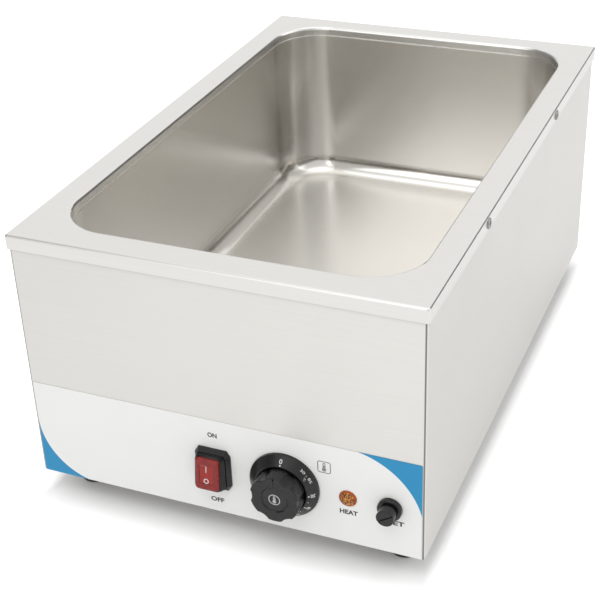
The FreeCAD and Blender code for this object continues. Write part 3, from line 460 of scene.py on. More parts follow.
@dataclass(frozen=True)
class BrushedSteel(Finish):
    """Stainless sheet with a fine grain along it."""

    tint: Colour
    shade: float = 0.975
    tone_band: Point = (0.36, 0.64)
    roughness: float = 0.29
    wear: Point = (0.006, 0.01)
    streak_band: Point = (0.3, 0.7)
    streak: float = 0.01
    line_length: float = 60.0
    line_width: float = 0.28
    grain_depth: float = 0.0012
    patch: float = 70.0
    anisotropy: float = 0.5
    painted_fold_reflection: float = 0.0
    painted_occlusion_share: float = 0.0
    painted_occlusion_reach: float = 5.0

    def wire(self, surface: Surface) -> None:
        """Lay the grain and the handling marks, and paint dark along the bends and shade under
        overhangs.

        Args:
            surface: The material in the making.
        """
        grain = surface.grain(self.line_length, self.line_width)
        tone = grain.outputs["Tone"]
        share = surface.remap(tone, *self.tone_band)
        base = surface.blend(share, scaled(self.tint, self.shade), self.tint)
        # Painted reflection: the colour darkens along the upright bends, on their side towards the
        # front or the back.
        if self.painted_fold_reflection:
            base = surface.shaded(base, surface.effect(bend_lines()), self.painted_fold_reflection)
        # Painted shade: the colour darkens where ambient occlusion finds a surface running in
        # under another.
        if self.painted_occlusion_share:
            painted_occlusion_mask = surface.effect(crevices(), {"Reach": self.painted_occlusion_reach})
            base = surface.shaded(base, painted_occlusion_mask, self.painted_occlusion_share)
        rough = surface.worn(surface.marks(self.patch), self.roughness, self.wear)
        streaks = surface.remap(tone, *self.streak_band, -self.streak, self.streak)
        flat = surface.remap(surface.levelness(), *FLAT_BAND)
        surface.put(
            Base_Color=base,
            Metallic=1.0,
            Roughness=surface.calc("ADD", rough, streaks),
            Anisotropic=self.anisotropy,
            Tangent=surface.join(0.0, flat, surface.calc("SUBTRACT", 1.0, flat)),
        )
        surface.relief(grain.outputs["Height"], self.grain_depth)


@dataclass(frozen=True)
class DrawnTank(Finish):
    """The welded tank: satin walls and floor, with polished seams between them."""

    tint: Colour = (0.775, 0.757, 0.722)
    shade: float = 0.98
    tone_band: Point = (0.35, 0.65)
    wall_roughness: float = 0.25
    floor_roughness: float = 0.30
    seam_roughness: float = 0.10
    wear: Point = (0.004, 0.008)
    floor_band: Point = (0.45, 0.55)
    seam_start: Point = (0.03, 0.12)
    seam_end: Point = (0.97, 0.995)
    line_length: float = 90.0
    line_width: float = 0.3
    grain_depth: float = 0.0005
    patch: float = 110.0
    softening: float = 3.0

    def wire(self, surface: Surface) -> None:
        """Lay the grain, and smooth the seams between walls and floor.

        Args:
            surface: The material in the making.
        """
        grain = surface.grain(self.line_length, self.line_width)
        share = surface.remap(grain.outputs["Tone"], *self.tone_band)
        lying = surface.levelness()
        level = surface.remap(lying, *self.floor_band, self.wall_roughness, self.floor_roughness)
        starts = surface.remap(lying, *self.seam_start)
        seam = surface.calc("MULTIPLY", starts, surface.remap(lying, *self.seam_end, 1.0, 0.0))
        drop = surface.calc("MULTIPLY", seam, surface.calc("SUBTRACT", level, self.seam_roughness))
        wear = surface.worn(surface.marks(self.patch), 0.0, self.wear)
        surface.put(
            Base_Color=surface.blend(share, scaled(self.tint, self.shade), self.tint),
            Metallic=1.0,
            Roughness=surface.calc("ADD", surface.calc("SUBTRACT", level, drop), wear),
        )
        soft = surface.edges(self.softening).outputs["Normal"]
        surface.relief(grain.outputs["Height"], self.grain_depth, soft)


@dataclass(frozen=True)
class SmallMetal(Finish):
    """Turned, plated or drawn small parts."""

    tint: Colour
    roughness: float = 0.28
    wear: Point = (0.04, 0.12)
    dulling: Colour = (0.5, 0.49, 0.46)
    dull_share: float = 0.35
    edge_gain: float = 1.15
    edge_radius: float = 0.2
    grain_size: float = 0.4
    grain_depth: float = 0.003
    patch: float = 9.0

    def wire(self, surface: Surface) -> None:
        """Dull the metal in patches and brighten its edges.

        Args:
            surface: The material in the making.
        """
        marks = surface.marks(self.patch)
        edges = surface.edges(self.edge_radius)
        share = surface.calc("MULTIPLY", marks, self.dull_share)
        dulled = surface.blend(share, self.tint, self.dulling)
        bright = scaled(self.tint, self.edge_gain)
        surface.put(
            Base_Color=surface.blend(edges.outputs["Mask"], dulled, bright),
            Metallic=1.0,
            Roughness=surface.worn(marks, self.roughness, self.wear),
        )
        height = surface.skin(self.grain_size).outputs["Height"]
        surface.relief(height, self.grain_depth, edges.outputs["Normal"])


@dataclass(frozen=True)
class HeatedSheath(Finish):
    """The element's sheath with its straw and blue heat tints."""

    grey: Colour = (0.34, 0.31, 0.28)
    straw: Colour = (0.46, 0.34, 0.18)
    blue: Colour = (0.17, 0.19, 0.27)
    blue_band: Point = (0.5, 0.7)
    blue_share: float = 0.6
    roughness: float = 0.38
    wear: Point = (0.0, 0.17)
    grain_size: float = 0.5
    grain_depth: float = 0.01
    patch: float = 38.0

    def wire(self, surface: Surface) -> None:
        """Lay the heat tints over the grey of the sheath.

        Args:
            surface: The material in the making.
        """
        marks = surface.marks(self.patch)
        skin = surface.skin(self.grain_size)
        straw = surface.blend(marks, self.grey, self.straw)
        share = surface.remap(skin.outputs["Tone"], *self.blue_band, 0.0, self.blue_share)
        surface.put(
            Base_Color=surface.blend(share, straw, self.blue),
            Metallic=1.0,
            Roughness=surface.worn(marks, self.roughness, self.wear),
        )
        surface.relief(skin.outputs["Height"], self.grain_depth)


@dataclass(frozen=True)
class MouldedPlastic(Finish):
    """Moulded plastic with a fine skin, and edges made paler both by wear and by a painted
    highlight.
    """

    colour: Colour
    roughness: float = 0.4
    wear: Point = (0.04, 0.06)
    grain_size: float = 0.28
    grain_depth: float = 0.006
    edge_wear_highlight_share: float = 0.35
    edge_wear_highlight_lift: float = 0.05
    edge_radius: float = 0.25
    mottling: float = 0.12
    mottle_band: Point = (0.35, 0.65)
    patch: float = 14.0

    def wire(self, surface: Surface) -> None:
        """Mottle the colour and pale the edges, as wear and as a painted highlight.

        Args:
            surface: The material in the making.
        """
        skin = surface.skin(self.grain_size)
        edges = surface.edges(self.edge_radius)
        low, high = (scaled(self.colour, 1 + sign * self.mottling) for sign in (-1, 1))
        flow = surface.blend(surface.remap(skin.outputs["Tone"], *self.mottle_band), low, high)
        # Paler edges: partly wear, partly a painted highlight.
        pale = tuple(part + self.edge_wear_highlight_lift for part in self.colour)
        worn = surface.calc("MULTIPLY", edges.outputs["Mask"], self.edge_wear_highlight_share)
        surface.put(
            Base_Color=surface.blend(worn, flow, pale),
            Roughness=surface.worn(surface.marks(self.patch), self.roughness, self.wear),
        )
        surface.relief(skin.outputs["Height"], self.grain_depth, edges.outputs["Normal"])


@dataclass(frozen=True)
class DustyRubber(Finish):
    """Black rubber with a faint bloom of dust."""

    colour: Colour = (0.022, 0.022, 0.024)
    bloom: Colour = (0.075, 0.075, 0.078)
    bloom_share: float = 0.3
    roughness: float = 0.55
    wear: Point = (0.05, 0.12)
    grain_size: float = 0.45
    grain_depth: float = 0.012
    edge_radius: float = 0.3
    patch: float = 11.0

    def wire(self, surface: Surface) -> None:
        """Lay the bloom in patches and along the edges.

        Args:
            surface: The material in the making.
        """
        edges = surface.edges(self.edge_radius)
        marks = surface.marks(self.patch)
        dusty = [
            surface.calc("MULTIPLY", mask, self.bloom_share)
            for mask in (marks, edges.outputs["Mask"])
        ]
        surface.put(
            Base_Color=surface.blend(surface.calc("ADD", *dusty), self.colour, self.bloom),
            Roughness=surface.worn(marks, self.roughness, self.wear),
        )
        height = surface.skin(self.grain_size).outputs["Height"]
        surface.relief(height, self.grain_depth, edges.outputs["Normal"])


@dataclass(frozen=True)
class TintedLens(Finish):
    """Clear tinted plastic that glows a little from within."""

    colour: Colour
    deep: Colour
    depth_band: Point = (0.4, 0.6)
    clearness: float = 0.15
    glow: float = 0.05
    roughness: float = 0.1
    wear: Point = (0.0, 0.08)
    grain_size: float = 0.6
    grain_depth: float = 0.004
    patch: float = 6.0

    def wire(self, surface: Surface) -> None:
        """Mix the two depths of the tint and let them glow.

        Args:
            surface: The material in the making.
        """
        height = surface.skin(self.grain_size).outputs["Height"]
        base = surface.blend(surface.remap(height, *self.depth_band), self.deep, self.colour)
        surface.glow(base, self.clearness, self.glow)
        surface.put(Roughness=surface.worn(surface.marks(self.patch), self.roughness, self.wear))
        surface.relief(height, self.grain_depth)


@dataclass(frozen=True)
class MosaicLens(Finish):
    """The lamp's amber lens, whose facets show dark, orange and yellow cells."""

    dark: Colour = (0.060, 0.018, 0.012)
    amber: Colour = (0.42, 0.115, 0.012)
    bright: Colour = (0.80, 0.30, 0.02)
    ring: Colour = (0.42, 0.075, 0.006)
    cell: float = 0.85
    amber_band: Point = (0.36, 0.52)
    bright_band: Point = (0.72, 0.86)
    heart_band: Point = (0.2, 0.55)
    heart_lift: float = 0.35
    ring_band: Point = (0.90, 0.95)
    centre: Point = (107.0, 68.0)
    radius: float = 6.7
    clearness: float = 0.2
    glow: float = 0.08
    polish_band: Point = (0.3, 0.7)
    roughness: Point = (0.08, 0.16)
    grain_size: float = 0.6
    grain_depth: float = 0.004

    def wire(self, surface: Surface) -> None:
        """Colour the cells, livelier towards the middle, and close them with a ring.

        Args:
            surface: The material in the making.
        """
        place = surface.millimetres()
        inputs = {"Vector": place, "Scale": 1.0 / self.cell}
        cells = surface.node("ShaderNodeTexVoronoi", inputs)
        pick = surface.split(cells.outputs["Color"])[0]
        across, _, up = surface.split(place)
        sides = (surface.calc("SUBTRACT", *pair) for pair in zip((across, up), self.centre))
        offset = surface.vector("LENGTH", surface.join(*sides, 0.0)).outputs["Value"]
        away = surface.calc("DIVIDE", offset, self.radius)
        lift = surface.remap(away, *self.heart_band, self.heart_lift, 0.0)
        low = surface.blend(surface.remap(pick, *self.amber_band), self.dark, self.amber)
        share = surface.remap(surface.calc("ADD", pick, lift), *self.bright_band)
        lively = surface.blend(share, low, self.bright)
        base = surface.blend(surface.remap(away, *self.ring_band), lively, self.ring)
        skin = surface.skin(self.grain_size)
        surface.glow(base, self.clearness, self.glow)
        rough = surface.remap(skin.outputs["Tone"], *self.polish_band, *self.roughness)
        surface.put(Roughness=rough)
        surface.relief(skin.outputs["Height"], self.grain_depth)


@dataclass(frozen=True)
class FilmCorner:
    """A coloured corner of the film: what lies beyond a circle, in millimetres."""

    centre: Point
    radius: float
    beyond: Beyond
    softness: float = 0.12

    def mask(self, surface: Surface, x: NodeSocket, z: NodeSocket) -> NodeSocket:
        """Where the corner is.

        Args:
            surface: The film's material.
            x: The place across, in millimetres.
            z: The place up, in millimetres.

        Returns:
            A mask with a crisp edge.
        """
        mask: SocketValue = 1.0
        squares = []
        for place, middle in zip((x, z), self.centre):
            offset = surface.calc("SUBTRACT", place, middle)
            squares.append(surface.calc("MULTIPLY", offset, offset))
            mask = surface.calc("MULTIPLY", mask, surface.calc(self.beyond.value, place, middle))
        away = surface.calc("SQRT", surface.calc("ADD", *squares))
        edge = (self.radius - self.softness, self.radius + self.softness)
        return surface.calc("MULTIPLY", surface.remap(away, *edge), mask)


@dataclass(frozen=True)
class PrintedFilm(Finish):
    """The white front film with a blue corner at the upper right and one at the lower left."""

    white: Colour = (0.84, 0.84, 0.825)
    shade: float = 0.985
    blue: Colour = (0.008, 0.256, 0.510)
    corners: tuple[FilmCorner, FilmCorner] = (
        FilmCorner((103.0, 49.95), 64.9, Beyond.UPPER_RIGHT),
        FilmCorner((-111.2, 77.7), 54.6, Beyond.LOWER_LEFT),
    )
    roughness: float = 0.34
    wear: Point = (0.0, 0.06)
    grain_size: float = 0.5
    grain_depth: float = 0.003
    patch: float = 80.0

    def wire(self, surface: Surface) -> None:
        """Print the two corners on the white.

        Args:
            surface: The material in the making.
        """
        x, _, z = surface.split(surface.millimetres())
        marks = surface.marks(self.patch)
        ground = surface.blend(marks, self.white, scaled(self.white, self.shade))
        blue = surface.calc("MAXIMUM", *(corner.mask(surface, x, z) for corner in self.corners))
        surface.put(
            Base_Color=surface.blend(blue, ground, self.blue),
            Roughness=surface.worn(marks, self.roughness, self.wear),
        )
        surface.relief(surface.skin(self.grain_size).outputs["Height"], self.grain_depth)


@dataclass(frozen=True)
class PrintInk(Finish):
    """Screen-printed ink, a little uneven."""

    colour: Colour
    thin_gain: float = 0.9
    thin_lift: float = 0.01
    cover_band: Point = (0.4, 0.6)
    polish_band: Point = (0.3, 0.7)
    roughness: Point = (0.45, 0.55)
    grain_size: float = 0.2
    grain_depth: float = 0.002

    def wire(self, surface: Surface) -> None:
        """Thin the ink here and there.

        Args:
            surface: The material in the making.
        """
        skin = surface.skin(self.grain_size)
        thin = tuple(part * self.thin_gain + self.thin_lift for part in self.colour)
        share = surface.remap(skin.outputs["Height"], *self.cover_band)
        surface.put(
            Base_Color=surface.blend(share, thin, self.colour),
            Roughness=surface.remap(skin.outputs["Tone"], *self.polish_band, *self.roughness),
        )
        surface.relief(skin.outputs["Height"], self.grain_depth)


@dataclass(frozen=True)
class BlackPlastic(MouldedPlastic):
    """The smooth black plastic of dial, grip and caps."""

    colour: Colour = (0.005, 0.005, 0.0055)
    roughness: float = 0.30
    mottling: float = 0.05
    edge_wear_highlight_lift: float = 0.015


SLOT_FINISHES: dict[str, Finish] = {
    "deck_steel": BrushedSteel(tint=(0.785, 0.775, 0.75)),
    # The casing's steel carries a painted dark reflection along its bends and a painted shade
    # under overhangs.
    "body_steel": BrushedSteel(
        tint=(0.785, 0.77, 0.738), roughness=0.34, anisotropy=0.85,
        painted_fold_reflection=0.7, painted_occlusion_share=0.5,
    ),
    "panel_steel": BrushedSteel(tint=(0.77, 0.76, 0.735), roughness=0.36, line_width=0.4),
    "tank_steel": DrawnTank(),
    "label_film": PrintedFilm(),
    "foot_rubber": DustyRubber(),
    "boot_rubber": DustyRubber(
        colour=(0.004, 0.004, 0.0045), bloom=(0.014, 0.014, 0.015), roughness=0.38,
    ),
    # Screw heads tinted far darker than bare steel: a painted shade for the shadow they sit in.
    "screw_steel": SmallMetal(tint=(0.34, 0.34, 0.325), dulling=(0.25, 0.24, 0.225)),
    "plated_steel": SmallMetal(
        tint=(0.68, 0.68, 0.64), roughness=0.34, dulling=(0.6, 0.56, 0.42),
    ),
    "tab_brass": SmallMetal(tint=(0.74, 0.64, 0.42), roughness=0.3, dulling=(0.5, 0.4, 0.22)),
    "sensor_copper": SmallMetal(
        tint=(0.72, 0.40, 0.27), roughness=0.3, dulling=(0.35, 0.17, 0.1), dull_share=0.6,
    ),
    "element_steel": HeatedSheath(),
    "switch_black": MouldedPlastic(
        colour=(0.006, 0.006, 0.0065), roughness=0.3, edge_wear_highlight_lift=0.015,
    ),
    "dial_black": BlackPlastic(edge_wear_highlight_lift=0.01),
    "knob_black": BlackPlastic(),
    "cap_black": BlackPlastic(colour=(0.007, 0.007, 0.0075), roughness=0.32),
    "reset_black": BlackPlastic(roughness=0.24),
    "gland_black": MouldedPlastic(colour=(0.03, 0.03, 0.032), roughness=0.42),
    "control_plastic": MouldedPlastic(colour=(0.16, 0.12, 0.085)),
    # The red cap's edges are lifted far towards pink: a painted highlight along them.
    "rocker_red": MouldedPlastic(
        colour=(0.225, 0.010, 0.007), roughness=0.22, edge_wear_highlight_share=0.4, edge_wear_highlight_lift=0.3,
    ),
    "pin_red": MouldedPlastic(colour=(0.5, 0.03, 0.02), roughness=0.3),
    "lens_red": TintedLens(colour=(0.385, 0.014, 0.007), deep=(0.295, 0.010, 0.005)),
    "lamp_amber": MosaicLens(),
    "lamp_rim": TintedLens(colour=(0.50, 0.13, 0.02), deep=(0.34, 0.08, 0.012)),
    "block_cream": MouldedPlastic(colour=(0.74, 0.69, 0.58), roughness=0.38, edge_wear_highlight_lift=0.03),
    "lead_insulation": DustyRubber(
        colour=(0.03, 0.03, 0.033), bloom=(0.09, 0.09, 0.09), roughness=0.4,
    ),
    "clip_nylon": MouldedPlastic(colour=(0.78, 0.76, 0.70), roughness=0.36, edge_wear_highlight_lift=0.03),
}

INK_FINISHES: dict[Ink, Finish] = {
    Ink.DARK: PrintInk(colour=(0.015, 0.016, 0.018)),
    Ink.WHITE: PrintInk(colour=(0.74, 0.74, 0.73)),
    # Dark red of a painted shade, laid in the gap round the switch's lens.
    Ink.SEAM: PrintInk(colour=(0.040, 0.004, 0.004)),
}


class Paintwork:
    """Gives each finish's material, built once."""

    def __init__(self) -> None:
        """Start with no material built."""
        self.made: dict[str, Material] = {}

    def once(self, name: str, finish: Finish) -> Material:
        """A finish's material, built when it is first asked for.

        Args:
            name: The finish's name.
            finish: The finish.

        Returns:
            Its material.
        """
        if name not in self.made:
            surface = Surface(f"{name}_finish")
            finish.wire(surface)
            self.made[name] = surface.material
        return self.made[name]

    def finish(self, slot: str) -> Material:
        """The material of a slot of the record."""
        return self.once(slot, SLOT_FINISHES[slot])

    def ink(self, ink: Ink) -> Material:
        """The material of an ink."""
        return self.once(ink.value, INK_FINISHES[ink])

    def dress(self, names: tuple[str, ...]) -> None:
        """Give the named nodes of the model the finish of their slot.

        Args:
            names: The nodes' names.
        """
        for name in names:
            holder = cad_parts[name].material_slots[0]
            slot = holder.material.name.split(".")[0]
            holder.material = self.finish(slot)
            LOG.info("%s dressed as %s", name, slot)


# Places and meshes


@dataclass(frozen=True)
class Placement:
    """A flat place on the object: its origin, its direction to the right, up and outward."""

    origin: Vector
    right: Vector = field(default_factory=lambda: Vector((1, 0, 0)))
    up: Vector = field(default_factory=lambda: Vector((0, 0, 1)))
    out: Vector = field(default_factory=lambda: Vector((0, -1, 0)))

    def at(self, across: float, upward: float, outward: float) -> Vector:
        """A point of the place, in metres."""
        return self.origin + self.right * across + self.up * upward + self.out * outward


@dataclass(frozen=True)
class ConePlacement:
    """A place on a cone that opens backwards, with tops of marks outward."""

    centre: Vector
    foot: Point
    top: Point
    angle: float

    def at(self, across: float, upward: float, outward: float) -> Vector:
        """A point of the place.

        Args:
            across: How far round the cone, in metres.
            upward: How far up its slope.
            outward: How far out from it.

        Returns:
            The point, in metres.
        """
        run = self.foot[0] - self.top[0]
        rise = self.top[1] - self.foot[1]
        slant = math.hypot(run, rise)
        middle = (self.foot[0] + self.top[0]) / 2
        radius = middle + (upward * run + outward * rise) / slant
        height = (self.foot[1] + self.top[1]) / 2 + (outward * run - upward * rise) / slant
        turn = self.angle + across / middle
        return self.centre + Vector((radius * math.sin(turn), -height, radius * math.cos(turn)))


AnyPlace = Placement | ConePlacement


def metres(*sizes: float) -> tuple[float, ...]:
    """Sizes in millimetres, turned into metres."""
    return tuple(size * MM for size in sizes)


def on_front(face: float, centre: Point) -> Placement:
    """The place on an upright face, round a point across and up in millimetres."""
    return Placement(Vector((centre[0] * MM, face, centre[1] * MM)))


def link_piece(name: str, mesh: Mesh, material: Material) -> Object:
    """Make an object of a mesh in the shared frame.

    Args:
        name: The piece's name.
        mesh: Its mesh.
        material: Its material.

    Returns:
        The new object.
    """
    mesh.materials.clear()
    mesh.materials.append(material)
    piece = bpy.data.objects.new(name, mesh)
    bpy.context.scene.collection.objects.link(piece)
    return piece


def mesh_from(name: str, shape: BMesh, smooth: bool = False) -> Mesh:
    """Close a shape into a mesh.

    Args:
        name: The mesh's name.
        shape: The shape, which is freed.
        smooth: Whether its faces are shaded smooth.

    Returns:
        The mesh.
    """
    bmesh.ops.recalc_face_normals(shape, faces=shape.faces)
    for face in shape.faces:
        face.smooth = smooth
    mesh = bpy.data.meshes.new(name)
    shape.to_mesh(mesh)
    shape.free()
    return mesh


def stitch(shape: BMesh, first: list[BMVert], second: list[BMVert]) -> None:
    """Join two closed rows of corners with a band of faces.

    Args:
        shape: The shape they belong to.
        first: One row.
        second: The other, with as many corners.
    """
    for index in range(len(first)):
        after = (index + 1) % len(first)
        shape.faces.new((first[index], first[after], second[after], second[index]))


def arc_points(centre: Point, radius: float, start: float, end: float, steps: int) -> list[Point]:
    """Points along an arc, with its angles in degrees.

    Args:
        centre: The arc's centre.
        radius: Its radius.
        start: Where it starts.
        end: Where it ends.
        steps: How many steps it has.

    Returns:
        The points, both ends among them.
    """
    turns = [math.radians(start + (end - start) * index / steps) for index in range(steps + 1)]
    return [(centre[0] + radius * math.cos(t), centre[1] + radius * math.sin(t)) for t in turns]


def ring_points(centre: Point, radius: float, steps: int) -> list[Point]:
    """Points round a full circle, none of them twice."""
    return arc_points(centre, radius, 0, 360, steps)[:-1]


def rounded_box(width: float, height: float, corner: float, steps: int = 6) -> list[Point]:
    """The outline of a rectangle with round corners, about its middle.

    Args:
        width: Its width.
        height: Its height.
        corner: The radius of its corners.
        steps: How many steps each corner has.

    Returns:
        The outline's points.
    """
    x = width / 2 - corner
    y = height / 2 - corner
    outline = []
    for (cx, cy), start in (((x, y), 0), ((-x, y), 90), ((-x, -y), 180), ((x, -y), 270)):
        outline += arc_points((cx, cy), corner, start, start + 90, steps)
    return outline


def letter_mesh(text: str, weight: float) -> Mesh:
    """Set words in the built-in font, one unit deep about their middle plane.

    Args:
        text: The words.
        weight: How much the strokes are thickened, as a share of the letter size.

    Returns:
        Their mesh.
    """
    curve = bpy.data.curves.new("lettering", "FONT")
    curve.body = text
    curve.extrude = LETTER_HALF_DEPTH
    curve.offset = weight
    curve.resolution_u = LETTER_STEPS
    holder = bpy.data.objects.new("lettering", curve)
    bpy.context.scene.collection.objects.link(holder)
    bpy.context.view_layer.update()
    drawn = holder.evaluated_get(bpy.context.evaluated_depsgraph_get())
    mesh = bpy.data.meshes.new_from_object(drawn)
    bpy.data.objects.remove(holder)
    bpy.data.curves.remove(curve)
    return mesh


class Mark:
    """Printed shapes in one ink, drawn flat and laid on a place. All sizes are in metres."""

    merge_distance = 0.002 * MM

    def __init__(self, thickness: float = 0.05 * MM, sunk: float = 0.03 * MM) -> None:
        """Start an empty mark.

        Args:
            thickness: How thick the ink is.
            sunk: How far it reaches into its ground.
        """
        self.shape = bmesh.new()
        self.thickness = thickness
        self.sunk = sunk

    def corner(self, place: AnyPlace, point: Point, outward: float) -> BMVert:
        """Add a corner at a point of a place."""
        return self.shape.verts.new(place.at(*point, outward))

    def plate(self, outline: list[Point], place: AnyPlace) -> None:
        """Add a flat plate.

        Args:
            outline: Its outline.
            place: Where it lies.
        """
        low = [self.corner(place, point, -self.sunk) for point in outline]
        high = [self.corner(place, point, self.thickness) for point in outline]
        self.shape.faces.new(high)
        self.shape.faces.new(list(reversed(low)))
        stitch(self.shape, low, high)

    def disc(self, centre: Point, radius: float, place: AnyPlace, sides: int = 24) -> None:
        """Add a round dot."""
        self.plate(ring_points(centre, radius, sides), place)

    def band(
        self, path: list[Point], width: float, place: AnyPlace, closed: bool = False
    ) -> None:
        """Add a line of even width.

        Args:
            path: The line's points.
            width: Its width.
            place: Where it lies.
            closed: Whether its end joins its start.
        """
        count = len(path)
        rows = []
        for index, (x, y) in enumerate(path):
            before = path[index - 1] if index or closed else path[index]
            after = path[(index + 1) % count] if index < count - 1 or closed else path[index]
            along = Vector((after[0] - before[0], after[1] - before[1]))
            along.normalize()
            offset = (-along.y * width / 2, along.x * width / 2)
            left = (x + offset[0], y + offset[1])
            right = (x - offset[0], y - offset[1])
            rows.append([
                self.corner(place, left, -self.sunk),
                self.corner(place, left, self.thickness),
                self.corner(place, right, self.thickness),
                self.corner(place, right, -self.sunk),
            ])
        for index in range(count if closed else count - 1):
            stitch(self.shape, rows[index], rows[(index + 1) % count])
        if not closed:
            self.shape.faces.new(rows[0])
            self.shape.faces.new(list(reversed(rows[-1])))

    def words(
        self, text: str, place: AnyPlace, width: float = 0.0, height: float = 0.0,
        weight: float = 0.0, centre: Point = (0.0, 0.0),
    ) -> None:
        """Add lettering in the built-in font.

        Args:
            text: The words.
            place: Where they lie.
            width: Their width, or 0 to take it from the height.
            height: Their height, or 0 to take it from the width.
            weight: How much the strokes are thickened, as a share of the letter size.
            centre: The middle of the words on the place.
        """
        flat = letter_mesh(text, weight)
        low = [min(v.co[axis] for v in flat.vertices) for axis in range(2)]
        high = [max(v.co[axis] for v in flat.vertices) for axis in range(2)]
        scale_x = width / (high[0] - low[0]) if width else height / (high[1] - low[1])
        scale_y = height / (high[1] - low[1]) if height else scale_x
        deep = self.thickness + self.sunk
        made = []
        for vertex in flat.vertices:
            across = (vertex.co.x - (low[0] + high[0]) / 2) * scale_x + centre[0]
            upward = (vertex.co.y - (low[1] + high[1]) / 2) * scale_y + centre[1]
            outward = (vertex.co.z + LETTER_HALF_DEPTH) * deep - self.sunk
            made.append(self.corner(place, (across, upward), outward))
        for polygon in flat.polygons:
            self.shape.faces.new([made[index] for index in polygon.vertices])
        bpy.data.meshes.remove(flat)

    def piece(self, name: str, material: Material, body: Body) -> Object:
        """Finish the mark as a piece that rides on a body.

        Args:
            name: The piece's name.
            material: Its ink.
            body: The body it rides on.

        Returns:
            The piece.
        """
        bmesh.ops.remove_doubles(self.shape, verts=self.shape.verts, dist=self.merge_distance)
        made = link_piece(name, mesh_from(name, self.shape), material)
        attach(made, body.value)
        LOG.info("%s printed", name)
        return made


@dataclass(frozen=True)
class Thermometer:
    """The sign of a thermometer with a filled bulb. Its parts are shares of its height."""

    bulb: float = 0.2
    stem: float = 0.11
    filling: float = 0.55
    column_gap: float = 0.18
    column_line: float = 0.9
    bulb_steps: int = 18
    stem_steps: int = 8

    def draw(self, mark: Mark, place: Placement, height: float, line: float) -> None:
        """Draw the sign.

        Args:
            mark: The mark that it belongs to.
            place: Where it lies.
            height: Its height, in metres.
            line: The width of its line.
        """
        bulb = height * self.bulb
        stem = height * self.stem
        foot = (0.0, -height / 2 + bulb)
        head = (0.0, height / 2 - stem)
        joint = math.degrees(math.acos(stem / bulb))
        path = arc_points(foot, bulb, 180 - joint, 360 + joint, self.bulb_steps)
        path += arc_points(head, stem, 0, 180, self.stem_steps)
        mark.band(path, line, place, closed=True)
        mark.disc(foot, bulb * self.filling, place)
        column = (0.0, head[1] - height * self.column_gap)
        mark.band([foot, column], line * self.column_line, place)


# Sub-assemblies


@dataclass
class Assembly:
    """A sub-assembly: the nodes of the model that it dresses, and what it adds to them.

    Its sizes are in millimetres and its angles in degrees.
    """

    paint: Paintwork
    nodes: tuple[str, ...] = ()

    def add(self) -> None:
        """Make the pieces that the model doesn't have."""

    def build(self) -> None:
        """Dress the nodes and make the pieces."""
        self.paint.dress(self.nodes)
        self.add()
        LOG.info("%s built", type(self).__name__)


@dataclass
class SteelShell(Assembly):
    """The deck, the tank, the folded casing and what holds them together."""

    nodes: tuple[str, ...] = (
        "top_deck", "water_tank", "body_wrap", "back_panel", "base_plate",
        "deck_screws", "deck_nuts", "base_screws", "panel_screws",
    )


@dataclass
class Feet(Assembly):
    """The four rubber feet with their screws and nuts."""

    nodes: tuple[str, ...] = (
        "foot_front_left", "foot_front_right", "foot_rear_left", "foot_rear_right",
        "foot_screws", "foot_nuts",
    )


@dataclass
class FrontFilm(Assembly):
    """The printed film across the lower front, with each word's middle and width."""

    nodes: tuple[str, ...] = ("fascia_label",)
    words: dict[str, tuple[Point, float]] = field(default_factory=lambda: {
        "ON": ((-5.3, 99.3), 8.0),
        "OFF": ((-4.8, 36.4), 11.6),
        "HEAT": ((107.4, 54.6), 14.7),
        "RESET": ((141.0, 54.6), 22.4),
    })
    letter_height: float = 4.4
    letter_weight: float = 0.034
    icon_centre: Point = (88.1, 92.5)
    icon_size: float = 10.2
    icon_corner: float = 1.6
    icon_line: float = 0.55
    sign_share: float = 0.72

    def add(self) -> None:
        """Print the film's words and its pictogram."""
        dark = self.paint.ink(Ink.DARK)
        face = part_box("fascia_label")[0].y
        for text, (centre, width) in self.words.items():
            mark = Mark()
            place = on_front(face, centre)
            mark.words(text, place, *metres(width, self.letter_height), self.letter_weight)
            mark.piece(f"film_word_{text.lower()}", dark, Body.CASING)
        icon = Mark()
        place = on_front(face, self.icon_centre)
        size, corner, line = metres(self.icon_size, self.icon_corner, self.icon_line)
        icon.band(rounded_box(size, size, corner), line, place, closed=True)
        Thermometer().draw(icon, place, size * self.sign_share, line)
        icon.piece("film_heat_pictogram", dark, Body.CASING)


